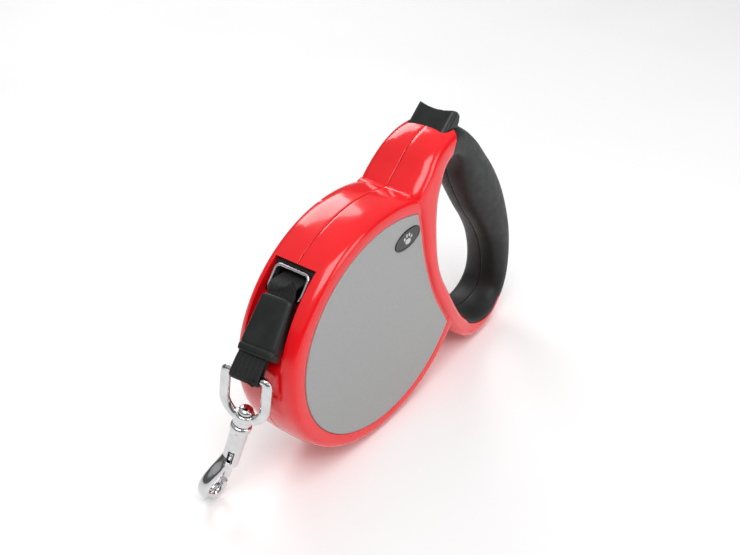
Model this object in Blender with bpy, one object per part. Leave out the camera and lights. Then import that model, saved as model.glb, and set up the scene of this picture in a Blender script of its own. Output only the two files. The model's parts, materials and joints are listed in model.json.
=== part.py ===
"""Retractable tape leash: a moulded two-half casing with a hand ring, a spring-wound reel of
tape, a thumb brake, and a stop block, D-ring and bolt snap on the end of the tape.

Metres. X runs from the tape outlet to the hand ring, Y along the reel axle, Z up. The leash
stands on the bottom of its casing and the bottom of its hand ring, at Z = 0.
Side-view points (x, z) below are in millimetres from the middle of the round casing.
"""

import math

import bmesh
import bpy
import numpy as np
from mathutils import Matrix, Vector

MM = 0.001
CASE_X, CASE_Z = -24.5, 55.0
# The casing leans back this far, in degrees, to rest on its hand ring
CASE_LEAN = 2.45
GAP = 0.3

# Round casing: an oval puck, as steps of (half width along Y, cut off its radius)
CASE_LONG, CASE_SHORT, CASE_TILT = 61.3, 55.0, 6.0
CASE_STEPS = ((0.0, 0.0), (8.0, 0.25), (12.0, 0.9), (14.1, 1.8), (15.0, 2.9), (15.3, 4.2))
WALL = 2.2
CAVITY_HALF = 12.4
PANEL_LONG, PANEL_SHORT = 52.6, 47.2
PANEL_THICK, PANEL_FACE = 1.5, 15.5
BADGE = (12.3, 36.2)

# Hand ring and button tower: (outer x, outer z, inner x, inner z, half width, squareness)
RING = (
    (17.6, 51.4, 37.0, 44.0, 16.0, 4.4), (25.0, 59.0, 39.0, 50.0, 15.6, 4.2),
    (33.4, 66.2, 42.0, 53.4, 14.6, 3.6), (43.0, 70.2, 46.0, 55.8, 13.9, 3.1),
    (53.3, 70.6, 51.0, 55.8, 13.2, 3.0), (63.2, 65.6, 57.0, 52.5, 12.6, 2.9),
    (73.4, 57.4, 61.5, 46.0, 12.0, 2.8), (82.2, 48.6, 64.8, 38.0, 11.5, 2.6),
    (91.6, 37.8, 70.4, 28.2, 11.2, 2.6), (100.0, 25.2, 78.0, 16.5, 11.0, 2.6),
    (106.0, 11.4, 86.8, 4.8, 11.0, 2.6), (109.8, -2.7, 93.8, -6.8, 11.0, 2.6),
    (110.8, -17.0, 98.0, -20.0, 11.0, 2.6), (108.8, -30.4, 98.0, -30.4, 11.2, 2.6),
    (102.4, -41.8, 93.6, -36.0, 11.6, 2.7), (93.0, -48.8, 85.8, -38.4, 12.2, 2.8),
    (82.0, -51.6, 77.0, -37.6, 12.8, 3.0), (72.0, -49.4, 69.5, -34.2, 13.6, 3.2),
    (62.0, -42.0, 61.0, -27.0, 14.6, 3.8), (50.5, -29.5, 54.0, -18.0, 15.6, 4.4),
    (42.0, -16.5, 47.0, -7.0, 16.2, 4.4), (34.5, -3.5, 40.5, 4.5, 16.2, 4.4),
    (29.0, 10.0, 37.0, 14.0, 16.2, 4.4), (25.0, 23.0, 35.6, 24.0, 16.2, 4.4),
    (22.5, 35.0, 35.2, 34.0, 16.2, 4.4), (20.0, 44.0, 35.8, 40.0, 16.2, 4.4),
)
GRIP_THICK = 2.2
# The soft grip covers this side-view area of the ring
GRIP_AREA = (
    (53.5, 90.0), (52.6, 74.0), (49.6, 67.0), (46.7, 60.5), (45.5, 50.0), (56.0, 10.0),
    (64.0, -25.0), (66.0, -34.5), (72.5, -40.0), (83.0, -43.8), (92.5, -43.2), (100.0, -38.0),
    (122.0, -34.0), (122.0, 90.0),
)

# Reel: the tape lies off the middle, with the mainspring's drum beside it
REEL_X, REEL_Z = -8.0, -1.0
FLANGE_R, TOOTH_R, TEETH = 39.5, 42.0, 24
HUB_R, COIL_R, SPRING_R = 21.0, 36.0, 30.0
TAPE_WIDE, TAPE_THICK, TAPE_Y = 12.5, 1.2, 1.2
AXLE_R = 2.5

# Button and brake: directions in the side view
BUTTON_TIP = (53.7, 77.4)
BUTTON_UP = (0.76, 0.65)
BUTTON_WIDE, BUTTON_DEEP = 19.6, 8.6
PAWL_UP = (0.57, 0.82)
PAWL_Y = TAPE_Y - TAPE_WIDE / 2 - GAP - 1.0

# Tape outlet: the flat it sits on faces OUT, the tape hangs along DOWN
OUT = (-0.777, 0.63)
DOWN = (-0.63, -0.777)
FLAT_AT = 52.6
FLAT_HALF = 10.4
BEND = (-43.6, 35.9)
# The mouth's range along DOWN
MOUTH, MOUTH_HALF = (-5.6, 3.0), 7.4
BLOCK_TOP, BLOCK_Y = (-47.3, 31.9), -0.3
BLOCK_RUN, BLOCK_OUT = (-0.683, -0.731), (-0.731, 0.683)
BLOCK_LONG, BLOCK_WIDE, BLOCK_THICK = 23.8, 17.2, 6.6
# The hanging end has turned this far about the vertical
HANG_YAW = -12.0

# D-ring and snap, as (x, y, z) where x and z are side-view coordinates
BAR = (-67.2, 1.5, 6.6)
SWIVEL = (-69.0, 3.5, -14.7)
SNAP_TIP = (-73.5, 15.6, -55.0)
BAR_WIRE, RING_HALF, RING_FLAT, RIVET_R = 1.6, 9.25, 2.2, 1.6
# Snap, measured along its axis from the swivel
BARREL_END, BOLT_END = 26.4, 34.2
STUD_AT = (21.4, 23.4)
STUD_TOWARD = (-0.9, -0.44, 0.0)
# The swivel rests with the hook turned this way
HOOK_TOWARD = (-0.98, 0.2, 0.0)
# Hook: (sideways, along, half thickness, half width)
HOOK = ((2.0, 22.0, 2.0, 3.0), (4.2, 25.6, 2.0, 3.0), (7.2, 29.4, 2.0, 3.0), (9.5, 33.6, 2.0, 3.0),
        (10.0, 37.8, 2.0, 3.0), (8.2, 41.4, 2.0, 2.9), (4.8, 43.0, 2.0, 2.7), (1.6, 41.8, 1.7, 2.4),
        (0.2, 39.2, 1.5, 2.2), (0.2, 36.6, 1.3, 2.0))

# Casing screws: (x, z, half length of the boss)
SCREWS = ((-45.2, -30.0, 12.8), (43.1, -32.0, 12.5), (-8.0, 50.2, 12.8), (17.0, 50.3, 12.8),
          (75.5, -44.6, 10.9))

# Material looks: colour, roughness, metallic

RED = (0.62, 0.012, 0.018, 1.0)
GREY = (0.40, 0.41, 0.40, 1.0)
BLACK = (0.022, 0.024, 0.024, 1.0)
DARK = (0.05, 0.05, 0.055, 1.0)
CHROME = (0.78, 0.79, 0.80, 1.0)
STEEL = (0.55, 0.56, 0.58, 1.0)
WHITE = (0.75, 0.74, 0.70, 1.0)


def clear_scene():
    for item in list(bpy.data.objects):
        bpy.data.objects.remove(item, do_unlink=True)


def lean(x, z):
    """Turns a side-view direction or offset by the casing's lean."""
    c, s = math.cos(math.radians(CASE_LEAN)), math.sin(math.radians(CASE_LEAN))
    return x * c + z * s, z * c - x * s


def side(x, z, y=0.0):
    """World point, in metres, of a side-view point."""
    x, z = lean(x, z)
    return Vector(((x + CASE_X) * MM, y * MM, (z + CASE_Z) * MM))


def along_side(direction, y=0.0):
    """World direction of a side-view direction."""
    x, z = lean(*direction)
    return Vector((x, y, z))


def material(name, colour, roughness, metallic):
    made = bpy.data.materials.new(name)
    made.use_nodes = True
    shader = made.node_tree.nodes["Principled BSDF"]
    shader.inputs["Base Color"].default_value = colour
    shader.inputs["Roughness"].default_value = roughness
    shader.inputs["Metallic"].default_value = metallic
    made.diffuse_color = colour
    return made


def finish(item, look, smooth=35.0, origin=None):
    """Gives the object its material, its shading and its origin."""
    colour, roughness, metallic = look
    item.data.materials.clear()
    item.data.materials.append(material(item.name + "_mat", colour, roughness, metallic))
    mesh = item.data
    mesh.polygons.foreach_set("use_smooth", [True] * len(mesh.polygons))
    mesh.set_sharp_from_angle(angle=math.radians(smooth))
    if origin is not None:
        shift = item.matrix_world.inverted() @ origin
        mesh.transform(Matrix.Translation(-shift))
        item.matrix_world = item.matrix_world @ Matrix.Translation(shift)
    return item


def from_grid(name, rings, closed_rows=False):
    """A closed solid from rings of points: each ring is a loop, joined to the next one. The
    first and last rings are capped unless the rows close on themselves."""
    build = bmesh.new()
    rows = [[build.verts.new(point) for point in ring] for ring in rings]
    count = len(rows[0])
    pairs = list(zip(rows, rows[1:]))
    if closed_rows:
        pairs.append((rows[-1], rows[0]))
    for low, high in pairs:
        for i in range(count):
            j = (i + 1) % count
            build.faces.new((low[i], low[j], high[j], high[i]))
    if not closed_rows:
        build.faces.new(rows[0][::-1])
        build.faces.new(rows[-1])
    return from_bmesh(name, build)


def from_bmesh(name, build):
    bmesh.ops.recalc_face_normals(build, faces=build.faces)
    mesh = bpy.data.meshes.new(name)
    build.to_mesh(mesh)
    build.free()
    item = bpy.data.objects.new(name, mesh)
    bpy.context.collection.objects.link(item)
    return item


def boolean(item, other, operation, keep=False):
    """Applies one exact Boolean, and removes the other object unless it's kept."""
    modifier = item.modifiers.new(operation, "BOOLEAN")
    modifier.object = other
    modifier.operation = operation
    modifier.solver = "EXACT"
    graph = bpy.context.evaluated_depsgraph_get()
    mesh = bpy.data.meshes.new_from_object(item.evaluated_get(graph))
    item.modifiers.clear()
    old = item.data
    item.data = mesh
    bpy.data.meshes.remove(old)
    if not keep:
        bpy.data.objects.remove(other, do_unlink=True)
    return item


def copy_of(item, name):
    twin = bpy.data.objects.new(name, item.data.copy())
    twin.matrix_world = item.matrix_world.copy()
    bpy.context.collection.objects.link(twin)
    return twin


def prism(name, outline, low, high):
    """Side-view outline in millimetres, run from Y = low to Y = high."""
    return from_grid(name, [[side(x, z, y) for x, z in outline] for y in (low, high)])


def disc(name, x, z, radius, low, high, count=32):
    turn = [2 * math.pi * i / count for i in range(count)]
    outline = [(x + radius * math.cos(a), z + radius * math.sin(a)) for a in turn]
    return prism(name, outline, low, high)


def tube(name, x, z, outer, inner, low, high, count=32):
    body = disc(name, x, z, outer, low, high, count)
    return boolean(body, disc("bore", x, z, inner, low - 1, high + 1, count), "DIFFERENCE")


def slab(name, out, down, half):
    """Block square to the outlet flat: out and down are ranges along OUT and DOWN, in
    millimetres from the middle of the casing, and half is its half width either side of the
    tape."""
    corners = [(out[0], down[0]), (out[1], down[0]), (out[1], down[1]), (out[0], down[1])]
    outline = [(OUT[0] * a + DOWN[0] * b, OUT[1] * a + DOWN[1] * b) for a, b in corners]
    return prism(name, outline, TAPE_Y - half, TAPE_Y + half)


def smooth_closed(points, per_span):
    """Closed Catmull-Rom curve through rows of numbers."""
    rows = np.array(points, float)
    before, after, later = np.roll(rows, 1, 0), np.roll(rows, -1, 0), np.roll(rows, -2, 0)
    steps = []
    for t in np.arange(per_span) / per_span:
        steps.append(0.5 * (2 * rows + (after - before) * t
                            + (2 * before - 5 * rows + 4 * after - later) * t ** 2
                            + (3 * rows - before - 3 * after + later) * t ** 3))
    return np.stack(steps, 1).reshape(-1, rows.shape[1])


def oval(radius_cut, y, count=64, long_axis=CASE_LONG, short_axis=CASE_SHORT):
    """One oval loop of the round casing, cut down by radius_cut."""
    tilt = math.radians(CASE_TILT)
    loop = []
    for i in range(count):
        angle = 2 * math.pi * i / count
        a = (long_axis - radius_cut) * math.cos(angle)
        b = (short_axis - radius_cut) * math.sin(angle)
        x = a * math.cos(tilt) - b * math.sin(tilt)
        z = a * math.sin(tilt) + b * math.cos(tilt)
        loop.append(side(x, z, y))
    return loop


def round_case(name, wall, half_limit):
    """The oval puck, less a wall thickness, and no wider than half_limit."""
    loops = [(y, cut) for y, cut in CASE_STEPS if y < half_limit - 0.4]
    end = half_limit
    cut_there = np.interp(end, [s[0] for s in CASE_STEPS], [s[1] for s in CASE_STEPS])
    loops.append((end, float(cut_there)))
    loops = [(-y, cut) for y, cut in reversed(loops[1:])] + loops
    return from_grid(name, [oval(cut + wall, y) for y, cut in loops])


def ring_sweep(name, thinner, per_span=2, around=18, least=1.2):
    """The hand ring and tower as one closed sweep, its section made thinner by the given
    distance on every side."""
    rows = smooth_closed(RING, per_span)
    sections = []
    for outer_x, outer_z, inner_x, inner_z, half, square in rows:
        mid_x, mid_z = (outer_x + inner_x) / 2, (outer_z + inner_z) / 2
        reach_x, reach_z = (outer_x - inner_x) / 2, (outer_z - inner_z) / 2
        depth = math.hypot(reach_x, reach_z)
        scale = max(depth - thinner, least) / depth
        wide = half - thinner
        loop = []
        for i in range(around):
            angle = 2 * math.pi * (i + 0.5) / around
            c, s = math.cos(angle), math.sin(angle)
            c = math.copysign(abs(c) ** (2 / square), c) * scale
            s = math.copysign(abs(s) ** (2 / square), s) * wide
            loop.append(side(mid_x + reach_x * c, mid_z + reach_z * c, s))
        sections.append(loop)
    return from_grid(name, sections, closed_rows=True)


def ring_middle(per_span=2):
    """Middle line of the ring's section: what the round casing is trimmed to."""
    rows = smooth_closed(RING, per_span)
    return [((r[0] + r[2]) / 2, (r[1] + r[3]) / 2) for r in rows]


def half_space(name, low, high):
    return prism(name, [(-150, -120), (180, -120), (180, 150), (-150, 150)], low, high)


def make_casing():
    """The two casing halves, and the two halves of the soft grip."""
    case = round_case("case", 0.0, 15.3)
    boolean(case, prism("trim", ring_middle(), -20, 20), "DIFFERENCE")
    skin = ring_sweep("skin", 0.0)
    grip_zone = prism("grip_zone", GRIP_AREA, -30, 30)
    grip = copy_of(skin, "grip")
    boolean(grip, grip_zone, "INTERSECT", keep=True)
    boolean(skin, grip_zone, "DIFFERENCE")
    core = ring_sweep("core", GRIP_THICK + GAP / 2, around=14)
    boolean(grip, ring_sweep("inside", GRIP_THICK - GAP / 2, around=14), "DIFFERENCE")
    boolean(case, skin, "UNION")
    boolean(case, core, "UNION")

    space = round_case("space", WALL, CAVITY_HALF)
    boolean(space, prism("trim", ring_middle(), -20, 20), "DIFFERENCE")
    boolean(space, slab("flat_wall", (FLAT_AT - WALL, 80), (-40, 40), FLAT_HALF + WALL), "DIFFERENCE")
    hollow = ring_sweep("hollow", GRIP_THICK + 2.0, around=12)
    boolean(space, hollow, "UNION")
    boolean(case, space, "DIFFERENCE")

    boolean(case, slab("flat", (FLAT_AT, 80), (MOUTH[0] - 3.6, 60), FLAT_HALF), "DIFFERENCE")
    hole = slab("mouth", (FLAT_AT - 9, FLAT_AT + 2), (MOUTH[0] - 1.4, MOUTH[1] + 1.4),
                MOUTH_HALF + 1.3)
    boolean(case, hole, "DIFFERENCE")

    # Slot for the button
    up, across = BUTTON_UP, (BUTTON_UP[1], -BUTTON_UP[0])
    slot = [(-0.4, 6), (BUTTON_DEEP + 0.4, 6), (BUTTON_DEEP + 0.4, -24), (-0.4, -24)]
    outline = [(BUTTON_TIP[0] + across[0] * a + up[0] * b, BUTTON_TIP[1] + across[1] * a + up[1] * b)
               for a, b in slot]
    width = BUTTON_WIDE / 2 + 0.4
    boolean(case, prism("slot", outline, -width, width), "DIFFERENCE")
    boolean(grip, prism("slot", outline, -width, width), "DIFFERENCE")

    # Recesses for the side panels and badges
    for sign in (-1, 1):
        pocket = panel_blank("pocket", sign, 0.25, PANEL_FACE - PANEL_THICK - 0.3, 20.0)
        boolean(case, pocket, "DIFFERENCE")

    # Axle sockets, screw bosses and the guide walls of the pawl
    for low, high in ((-12.9, -10.4), (10.4, 12.9)):
        boolean(case, disc("socket", REEL_X, REEL_Z, 5.0, low, high, 20), "UNION")
    boolean(case, disc("bore", REEL_X, REEL_Z, AXLE_R + GAP, -12.2, 12.2, 20), "DIFFERENCE")
    for x, z, half in SCREWS:
        boolean(case, disc("boss", x, z, 3.2, -half, half, 14), "UNION")
    pawl_guides(case)

    left, right = case, copy_of(case, "right_shell")
    left.name = "left_shell"
    boolean(left, half_space("keep", -40, -0.15), "INTERSECT")
    boolean(right, half_space("keep", 0.15, 40), "INTERSECT")
    left_grip, right_grip = grip, copy_of(grip, "right_grip")
    left_grip.name = "left_grip"
    boolean(left_grip, half_space("keep", -40, -0.15), "INTERSECT")
    boolean(right_grip, half_space("keep", 0.15, 40), "INTERSECT")
    for x, z, half in SCREWS:
        boolean(left, disc("thread", x, z, 1.6, -9.5, 1.0, 12), "DIFFERENCE")
        boolean(right, disc("clear", x, z, 1.6, -1.0, 30.0, 12), "DIFFERENCE")
        boolean(right, disc("well", x, z, 2.8, 8.6, 30.0, 14), "DIFFERENCE")
    for shell in (left, right):
        finish(shell, (RED, 0.12, 0.0), 30)
    for pad in (left_grip, right_grip):
        finish(pad, (BLACK, 0.55, 0.0), 35)


def pawl_guides(case):
    """Two small walls either side of the brake pawl, standing on the left casing wall."""
    across = (PAWL_UP[1], -PAWL_UP[0])
    for low, high in ((-5.6, -3.5), (3.5, 5.6)):
        outline = [(REEL_X + PAWL_UP[0] * r + across[0] * a, REEL_Z + PAWL_UP[1] * r + across[1] * a)
                   for a, r in ((low, 46.5), (high, 46.5), (high, 54.5), (low, 54.5))]
        boolean(case, prism("guide", outline, -13.0, PAWL_Y + 1.3), "UNION")


def panel_blank(name, sign, grow, low, high):
    """The side panel's outline: an oval cut off by the hand ring."""
    cut = -grow
    ends = sorted((sign * low, sign * high))
    loops = [oval(cut, y, 56, PANEL_LONG, PANEL_SHORT) for y in ends]
    blank = from_grid(name, loops)
    rows = smooth_closed([r[:4] for r in RING], 2)
    edge = []
    for outer_x, outer_z, inner_x, inner_z in rows:
        size = math.hypot(outer_x - inner_x, outer_z - inner_z)
        reach = (0.35 - grow) / size
        edge.append((outer_x + (outer_x - inner_x) * reach, outer_z + (outer_z - inner_z) * reach))
    return boolean(blank, prism("ring_edge", edge, -30, 30), "DIFFERENCE")


def make_panels():
    for name, sign in (("left", -1), ("right", 1)):
        panel = panel_blank(name + "_panel", sign, 0.0, PANEL_FACE - PANEL_THICK, PANEL_FACE)
        seat = badge_blank("seat", sign, 0.2, PANEL_FACE - 0.7, PANEL_FACE + 2)
        boolean(panel, seat, "DIFFERENCE")
        finish(panel, (GREY, 0.45, 0.0), 30)
        badge = badge_blank(name + "_badge", sign, 0.0, PANEL_FACE - 0.6, PANEL_FACE + 0.35)
        finish(badge, (BLACK, 0.15, 0.0), 30)


def badge_blank(name, sign, grow, low, high):
    """A plain oval badge near the top corner of the panel."""
    tilt = math.radians(6)
    outline = []
    for i in range(28):
        angle = 2 * math.pi * i / 28
        a, b = (8.6 + grow) * math.cos(angle), (4.3 + grow) * math.sin(angle)
        outline.append((BADGE[0] + a * math.cos(tilt) - b * math.sin(tilt),
                        BADGE[1] + a * math.sin(tilt) + b * math.cos(tilt)))
    return prism(name, outline, *sorted((sign * low, sign * high)))


def make_screws():
    for number, (x, z, half) in enumerate(SCREWS, 1):
        screw = disc(f"case_screw_{number}", x, z, 1.3, -8.6, 9.0, 12)
        boolean(screw, disc("head", x, z, 2.5, 8.9, 10.7, 14), "UNION")
        for turn in (0, 90):
            a = math.radians(turn + 20)
            ax, az = math.cos(a), math.sin(a)
            bar = [(x + ax * p - az * q, z + az * p + ax * q)
                   for p, q in ((-1.5, -0.3), (1.5, -0.3), (1.5, 0.3), (-1.5, 0.3))]
            boolean(screw, prism("cross", bar, 9.9, 12), "DIFFERENCE")
        finish(screw, (STEEL, 0.3, 1.0), 30)


def make_reel():
    axis = side(REEL_X, REEL_Z)
    axle = disc("reel_axle", REEL_X, REEL_Z, AXLE_R, -11.9, 11.9, 24)
    finish(axle, (STEEL, 0.25, 1.0), 30, axis)

    low, high = TAPE_Y - TAPE_WIDE / 2 - GAP, TAPE_Y + TAPE_WIDE / 2 + GAP
    teeth = []
    # A gap between two teeth, whose middle is at step 0.21, faces the pawl
    pawl_angle = math.atan2(PAWL_UP[1], PAWL_UP[0])
    for i in range(TEETH):
        for step, radius in ((0.0, FLANGE_R), (0.42, FLANGE_R), (0.58, TOOTH_R), (0.96, TOOTH_R)):
            angle = pawl_angle + 2 * math.pi * (i + step - 0.21) / TEETH
            teeth.append((REEL_X + radius * math.cos(angle), REEL_Z + radius * math.sin(angle)))
    reel = prism("reel", teeth, low - 2.0, low)
    boolean(reel, disc("hub", REEL_X, REEL_Z, HUB_R, low - 1.0, high + 1.0, 40), "UNION")
    boolean(reel, disc("flange", REEL_X, REEL_Z, TOOTH_R, high, high + 1.3, 48), "UNION")
    boolean(reel, disc("well", REEL_X, REEL_Z, HUB_R - 1.8, low + 1.0, 14, 40), "DIFFERENCE")
    boolean(reel, disc("drum", REEL_X, REEL_Z, SPRING_R, -10.6, low - 1.0, 48), "UNION")
    boolean(reel, disc("drum_well", REEL_X, REEL_Z, SPRING_R - 1.6, -14, low - 1.6, 48), "DIFFERENCE")
    boolean(reel, disc("bearing", REEL_X, REEL_Z, AXLE_R + 2.2, low - 1.0, 9.6, 24), "UNION")
    boolean(reel, disc("bore", REEL_X, REEL_Z, AXLE_R + GAP, -20, 20, 24), "DIFFERENCE")
    finish(reel, (WHITE, 0.4, 0.0), 30, axis)

    cover = disc("spring_cover", REEL_X, REEL_Z, SPRING_R, -11.9, -10.9, 48)
    boolean(cover, disc("bore", REEL_X, REEL_Z, 5.6, -20, 20, 24), "DIFFERENCE")
    finish(cover, (DARK, 0.4, 0.0), 30, axis)

    # Spiral mainspring, wound from the axle out to the wall of its drum
    turns, steps, thick = 7.0, 16, 0.5
    start, end = AXLE_R + 0.5, SPRING_R - 2.6
    loops = []
    for i in range(int(turns * steps) + 1):
        angle = 2 * math.pi * i / steps
        radius = start + (end - start) * i / (turns * steps)
        dx, dz = math.cos(angle), math.sin(angle)
        loops.append([side(REEL_X + dx * r, REEL_Z + dz * r, y)
                      for r, y in ((radius, -10.1), (radius + thick, -10.1),
                                   (radius + thick, low - 1.9), (radius, low - 1.9))])
    finish(from_grid("mainspring", loops), (STEEL, 0.3, 1.0), 60, axis)

    coil = tube("tape_coil", REEL_X, REEL_Z, COIL_R, HUB_R + GAP, TAPE_Y - TAPE_WIDE / 2,
                TAPE_Y + TAPE_WIDE / 2, 48)
    finish(coil, (BLACK, 0.8, 0.0), 30, axis)


def make_brake():
    """The thumb button with its stem, its spring, and the pawl it pushes into the reel."""
    up, across = BUTTON_UP, (BUTTON_UP[1], -BUTTON_UP[0])

    def at(a, b):
        return (BUTTON_TIP[0] + across[0] * a + up[0] * b, BUTTON_TIP[1] + across[1] * a + up[1] * b)

    profile = [at(0, 0), at(0, -19), at(BUTTON_DEEP, -19), at(BUTTON_DEEP, -9), at(6.6, -3.5), at(4.4, -0.4)]
    button = prism("brake_button", profile, -BUTTON_WIDE / 2, BUTTON_WIDE / 2)
    # The top edge dips in the middle for the thumb
    dip, drop = [], 1.9
    radius = (BUTTON_WIDE ** 2 / 4 + drop ** 2) / (2 * drop)
    for i in range(25):
        y = (BUTTON_WIDE / 2 + 0.5) * (i / 12 - 1)
        dip.append((y, math.sqrt(radius ** 2 - y ** 2) - (radius - drop)))
    loops = []
    for a in (-4.0, 12.0):
        loop = [side(*at(a, -depth), y) for y, depth in dip]
        loop += [side(*at(a, 6.0), y) for y in (BUTTON_WIDE / 2 + 0.5, -BUTTON_WIDE / 2 - 0.5)]
        loops.append(loop)
    boolean(button, from_grid("thumb_dip", loops), "DIFFERENCE")
    leg = prism("leg", [at(1, -18), at(1, -31.5), at(5, -31.5), at(5, -18)], PAWL_Y - 1.8, PAWL_Y + 1.8)
    boolean(button, leg, "UNION")
    finish(button, (BLACK, 0.45, 0.0), 30, side(*at(BUTTON_DEEP / 2, -10)))

    seat = at(3.2, -19.3)
    coil_spring("button_spring", side(*seat, 3.5), -along_side(up), 4.8, 2.2, 0.7, 3)

    pawl_across = (PAWL_UP[1], -PAWL_UP[0])

    def pawl_at(a, r):
        return (REEL_X + PAWL_UP[0] * r + pawl_across[0] * a, REEL_Z + PAWL_UP[1] * r + pawl_across[1] * a)

    outline = [pawl_at(*p) for p in ((-1.2, 43.6), (1.2, 43.6), (3.1, 46.5), (3.1, 66.2),
                                     (-3.1, 66.2), (-3.1, 46.5))]
    pawl = prism("brake_pawl", outline, PAWL_Y - 1.3, PAWL_Y + 1.3)
    finish(pawl, (WHITE, 0.4, 0.0), 30, side(*pawl_at(0, 52), PAWL_Y))


def coil_spring(name, start, direction, length, radius, wire, turns, steps=12, sides=6):
    """Helical wire spring from a start point along a direction. Sizes in millimetres."""
    axis = direction.normalized()
    one = axis.orthogonal().normalized()
    two = axis.cross(one)
    loops = []
    total = turns * steps
    for i in range(total + 1):
        angle = 2 * math.pi * i / steps
        out = one * math.cos(angle) + two * math.sin(angle)
        middle = start + (out * radius + axis * (wire / 2 + (length - wire) * i / total)) * MM
        loops.append([middle + (out * math.cos(b) + axis * math.sin(b)) * wire / 2 * MM
                      for b in (2 * math.pi * k / sides for k in range(sides))])
    return finish(from_grid(name, loops), (STEEL, 0.25, 1.0), 60, start)


def make_outlet():
    """The black mouthpiece on the outlet flat, and its chromed wire guide."""
    high, low = MOUTH
    plate = slab("outlet_mouthpiece", (FLAT_AT + 0.2, FLAT_AT + 1.5), (high - 3.3, low + 1.8),
                 MOUTH_HALF + 2.6)
    boolean(plate, slab("neck", (FLAT_AT - 1.0, FLAT_AT + 1.0), (high - 1.1, low + 1.1),
                        MOUTH_HALF + 1.0), "UNION")
    boolean(plate, slab("hole", (FLAT_AT - 9, FLAT_AT + 9), MOUTH, MOUTH_HALF), "DIFFERENCE")
    finish(plate, (BLACK, 0.4, 0.0), 30)

    # A wire frame round the mouth: a rounded rectangle in the plane of the outlet flat
    out, down = along_side(OUT), along_side(DOWN)
    wire, corner, half_y = 0.75, 2.2, MOUTH_HALF + 0.9
    lift = FLAT_AT + 1.8 + wire
    top, bottom = high - 1.0, low + 0.8
    path = []
    for cx, cy, first in ((half_y - corner, bottom - corner, 0), (-half_y + corner, bottom - corner, 90),
                          (-half_y + corner, top + corner, 180), (half_y - corner, top + corner, 270)):
        for step in range(5):
            angle = math.radians(first + 22.5 * step)
            path.append((cx + corner * math.cos(angle), cy + corner * math.sin(angle)))
    base = side(0, 0, TAPE_Y)
    sideways = Vector((0, 1, 0))
    centre = (0.0, (top + bottom) / 2)
    loops = []
    for y, s in path:
        away = (sideways * (y - centre[0]) + down * (s - centre[1])).normalized()
        middle_point = base + (out * lift + sideways * y + down * s) * MM
        loops.append([middle_point + (away * math.cos(b) + out * math.sin(b)) * wire * MM
                      for b in (2 * math.pi * k / 8 for k in range(8))])
    finish(from_grid("outlet_guide", loops, closed_rows=True), (CHROME, 0.08, 1.0), 50)


def ribbon(name, points, half_width, thick, yaws=None):
    """Flat tape along side-view points, with an optional turn about the vertical at each."""
    yaws = yaws or [0.0] * len(points)
    spots = [Vector((p[0], p[2] if len(p) > 2 else 0.0, p[1])) for p in points]
    loops = []
    for i, (spot, yaw) in enumerate(zip(spots, yaws)):
        before, after = spots[max(i - 1, 0)], spots[min(i + 1, len(spots) - 1)]
        run = (after - before).normalized()
        wide = Vector((math.sin(math.radians(yaw)), math.cos(math.radians(yaw)), 0))
        wide = (wide - run * wide.dot(run)).normalized()
        normal = run.cross(wide)
        loop = []
        for w, n in ((-1, -1), (1, -1), (1, 1), (-1, 1)):
            point = spot + wide * w * half_width + normal * n * thick / 2
            loop.append(side(point.x, point.z, point.y))
        loops.append(loop)
    return from_grid(name, loops)


def make_tape():
    """The tape from the reel to the mouth, and the tail from there through the stop block to
    a loop round the D-ring's bar."""
    top = REEL_Z + COIL_R + GAP + TAPE_THICK / 2
    # Room for the end of the tail to turn against the end of this piece
    turn_room = TAPE_THICK / 2 + GAP
    run = ribbon("tape_run", [(x, top, TAPE_Y) for x in (REEL_X, -20, -34, BEND[0] + turn_room)],
                 TAPE_WIDE / 2, TAPE_THICK)
    finish(run, (BLACK, 0.8, 0.0), 30)

    middle, end = block_point(BLOCK_LONG / 2), block_point(BLOCK_LONG)
    entry = block_point(-1.2)
    path = [(BEND[0], top, TAPE_Y), (BEND[0] - 2.2, top - 0.6, TAPE_Y),
            (entry[0] - 0.5, entry[1] + 0.3, BLOCK_Y + 0.6), (*middle, BLOCK_Y), (*end, BLOCK_Y),
            (BAR[0] + 1.2, BAR[2] + 4.0, BAR[1])]
    yaws = [0, -2, -4, -6, -8, HANG_YAW]
    tail = ribbon("tape_tail", path, TAPE_WIDE / 2, TAPE_THICK, yaws)
    boolean(tail, loop_round_bar("wrap"), "UNION")
    finish(tail, (BLACK, 0.8, 0.0), 30, side(BEND[0], top, TAPE_Y))

    block = stop_block(middle)
    boolean(block, ribbon("slot", path, TAPE_WIDE / 2 + 0.3, TAPE_THICK + 0.6, yaws), "DIFFERENCE")
    finish(block, (BLACK, 0.5, 0.0), 35)


def block_point(run):
    """Side-view point this far down the stop block's middle line."""
    return BLOCK_TOP[0] + BLOCK_RUN[0] * run, BLOCK_TOP[1] + BLOCK_RUN[1] * run


def hang_across():
    """Direction across the hanging end of the tape."""
    yaw = math.radians(HANG_YAW)
    return Vector((math.sin(yaw), math.cos(yaw), 0))


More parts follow.
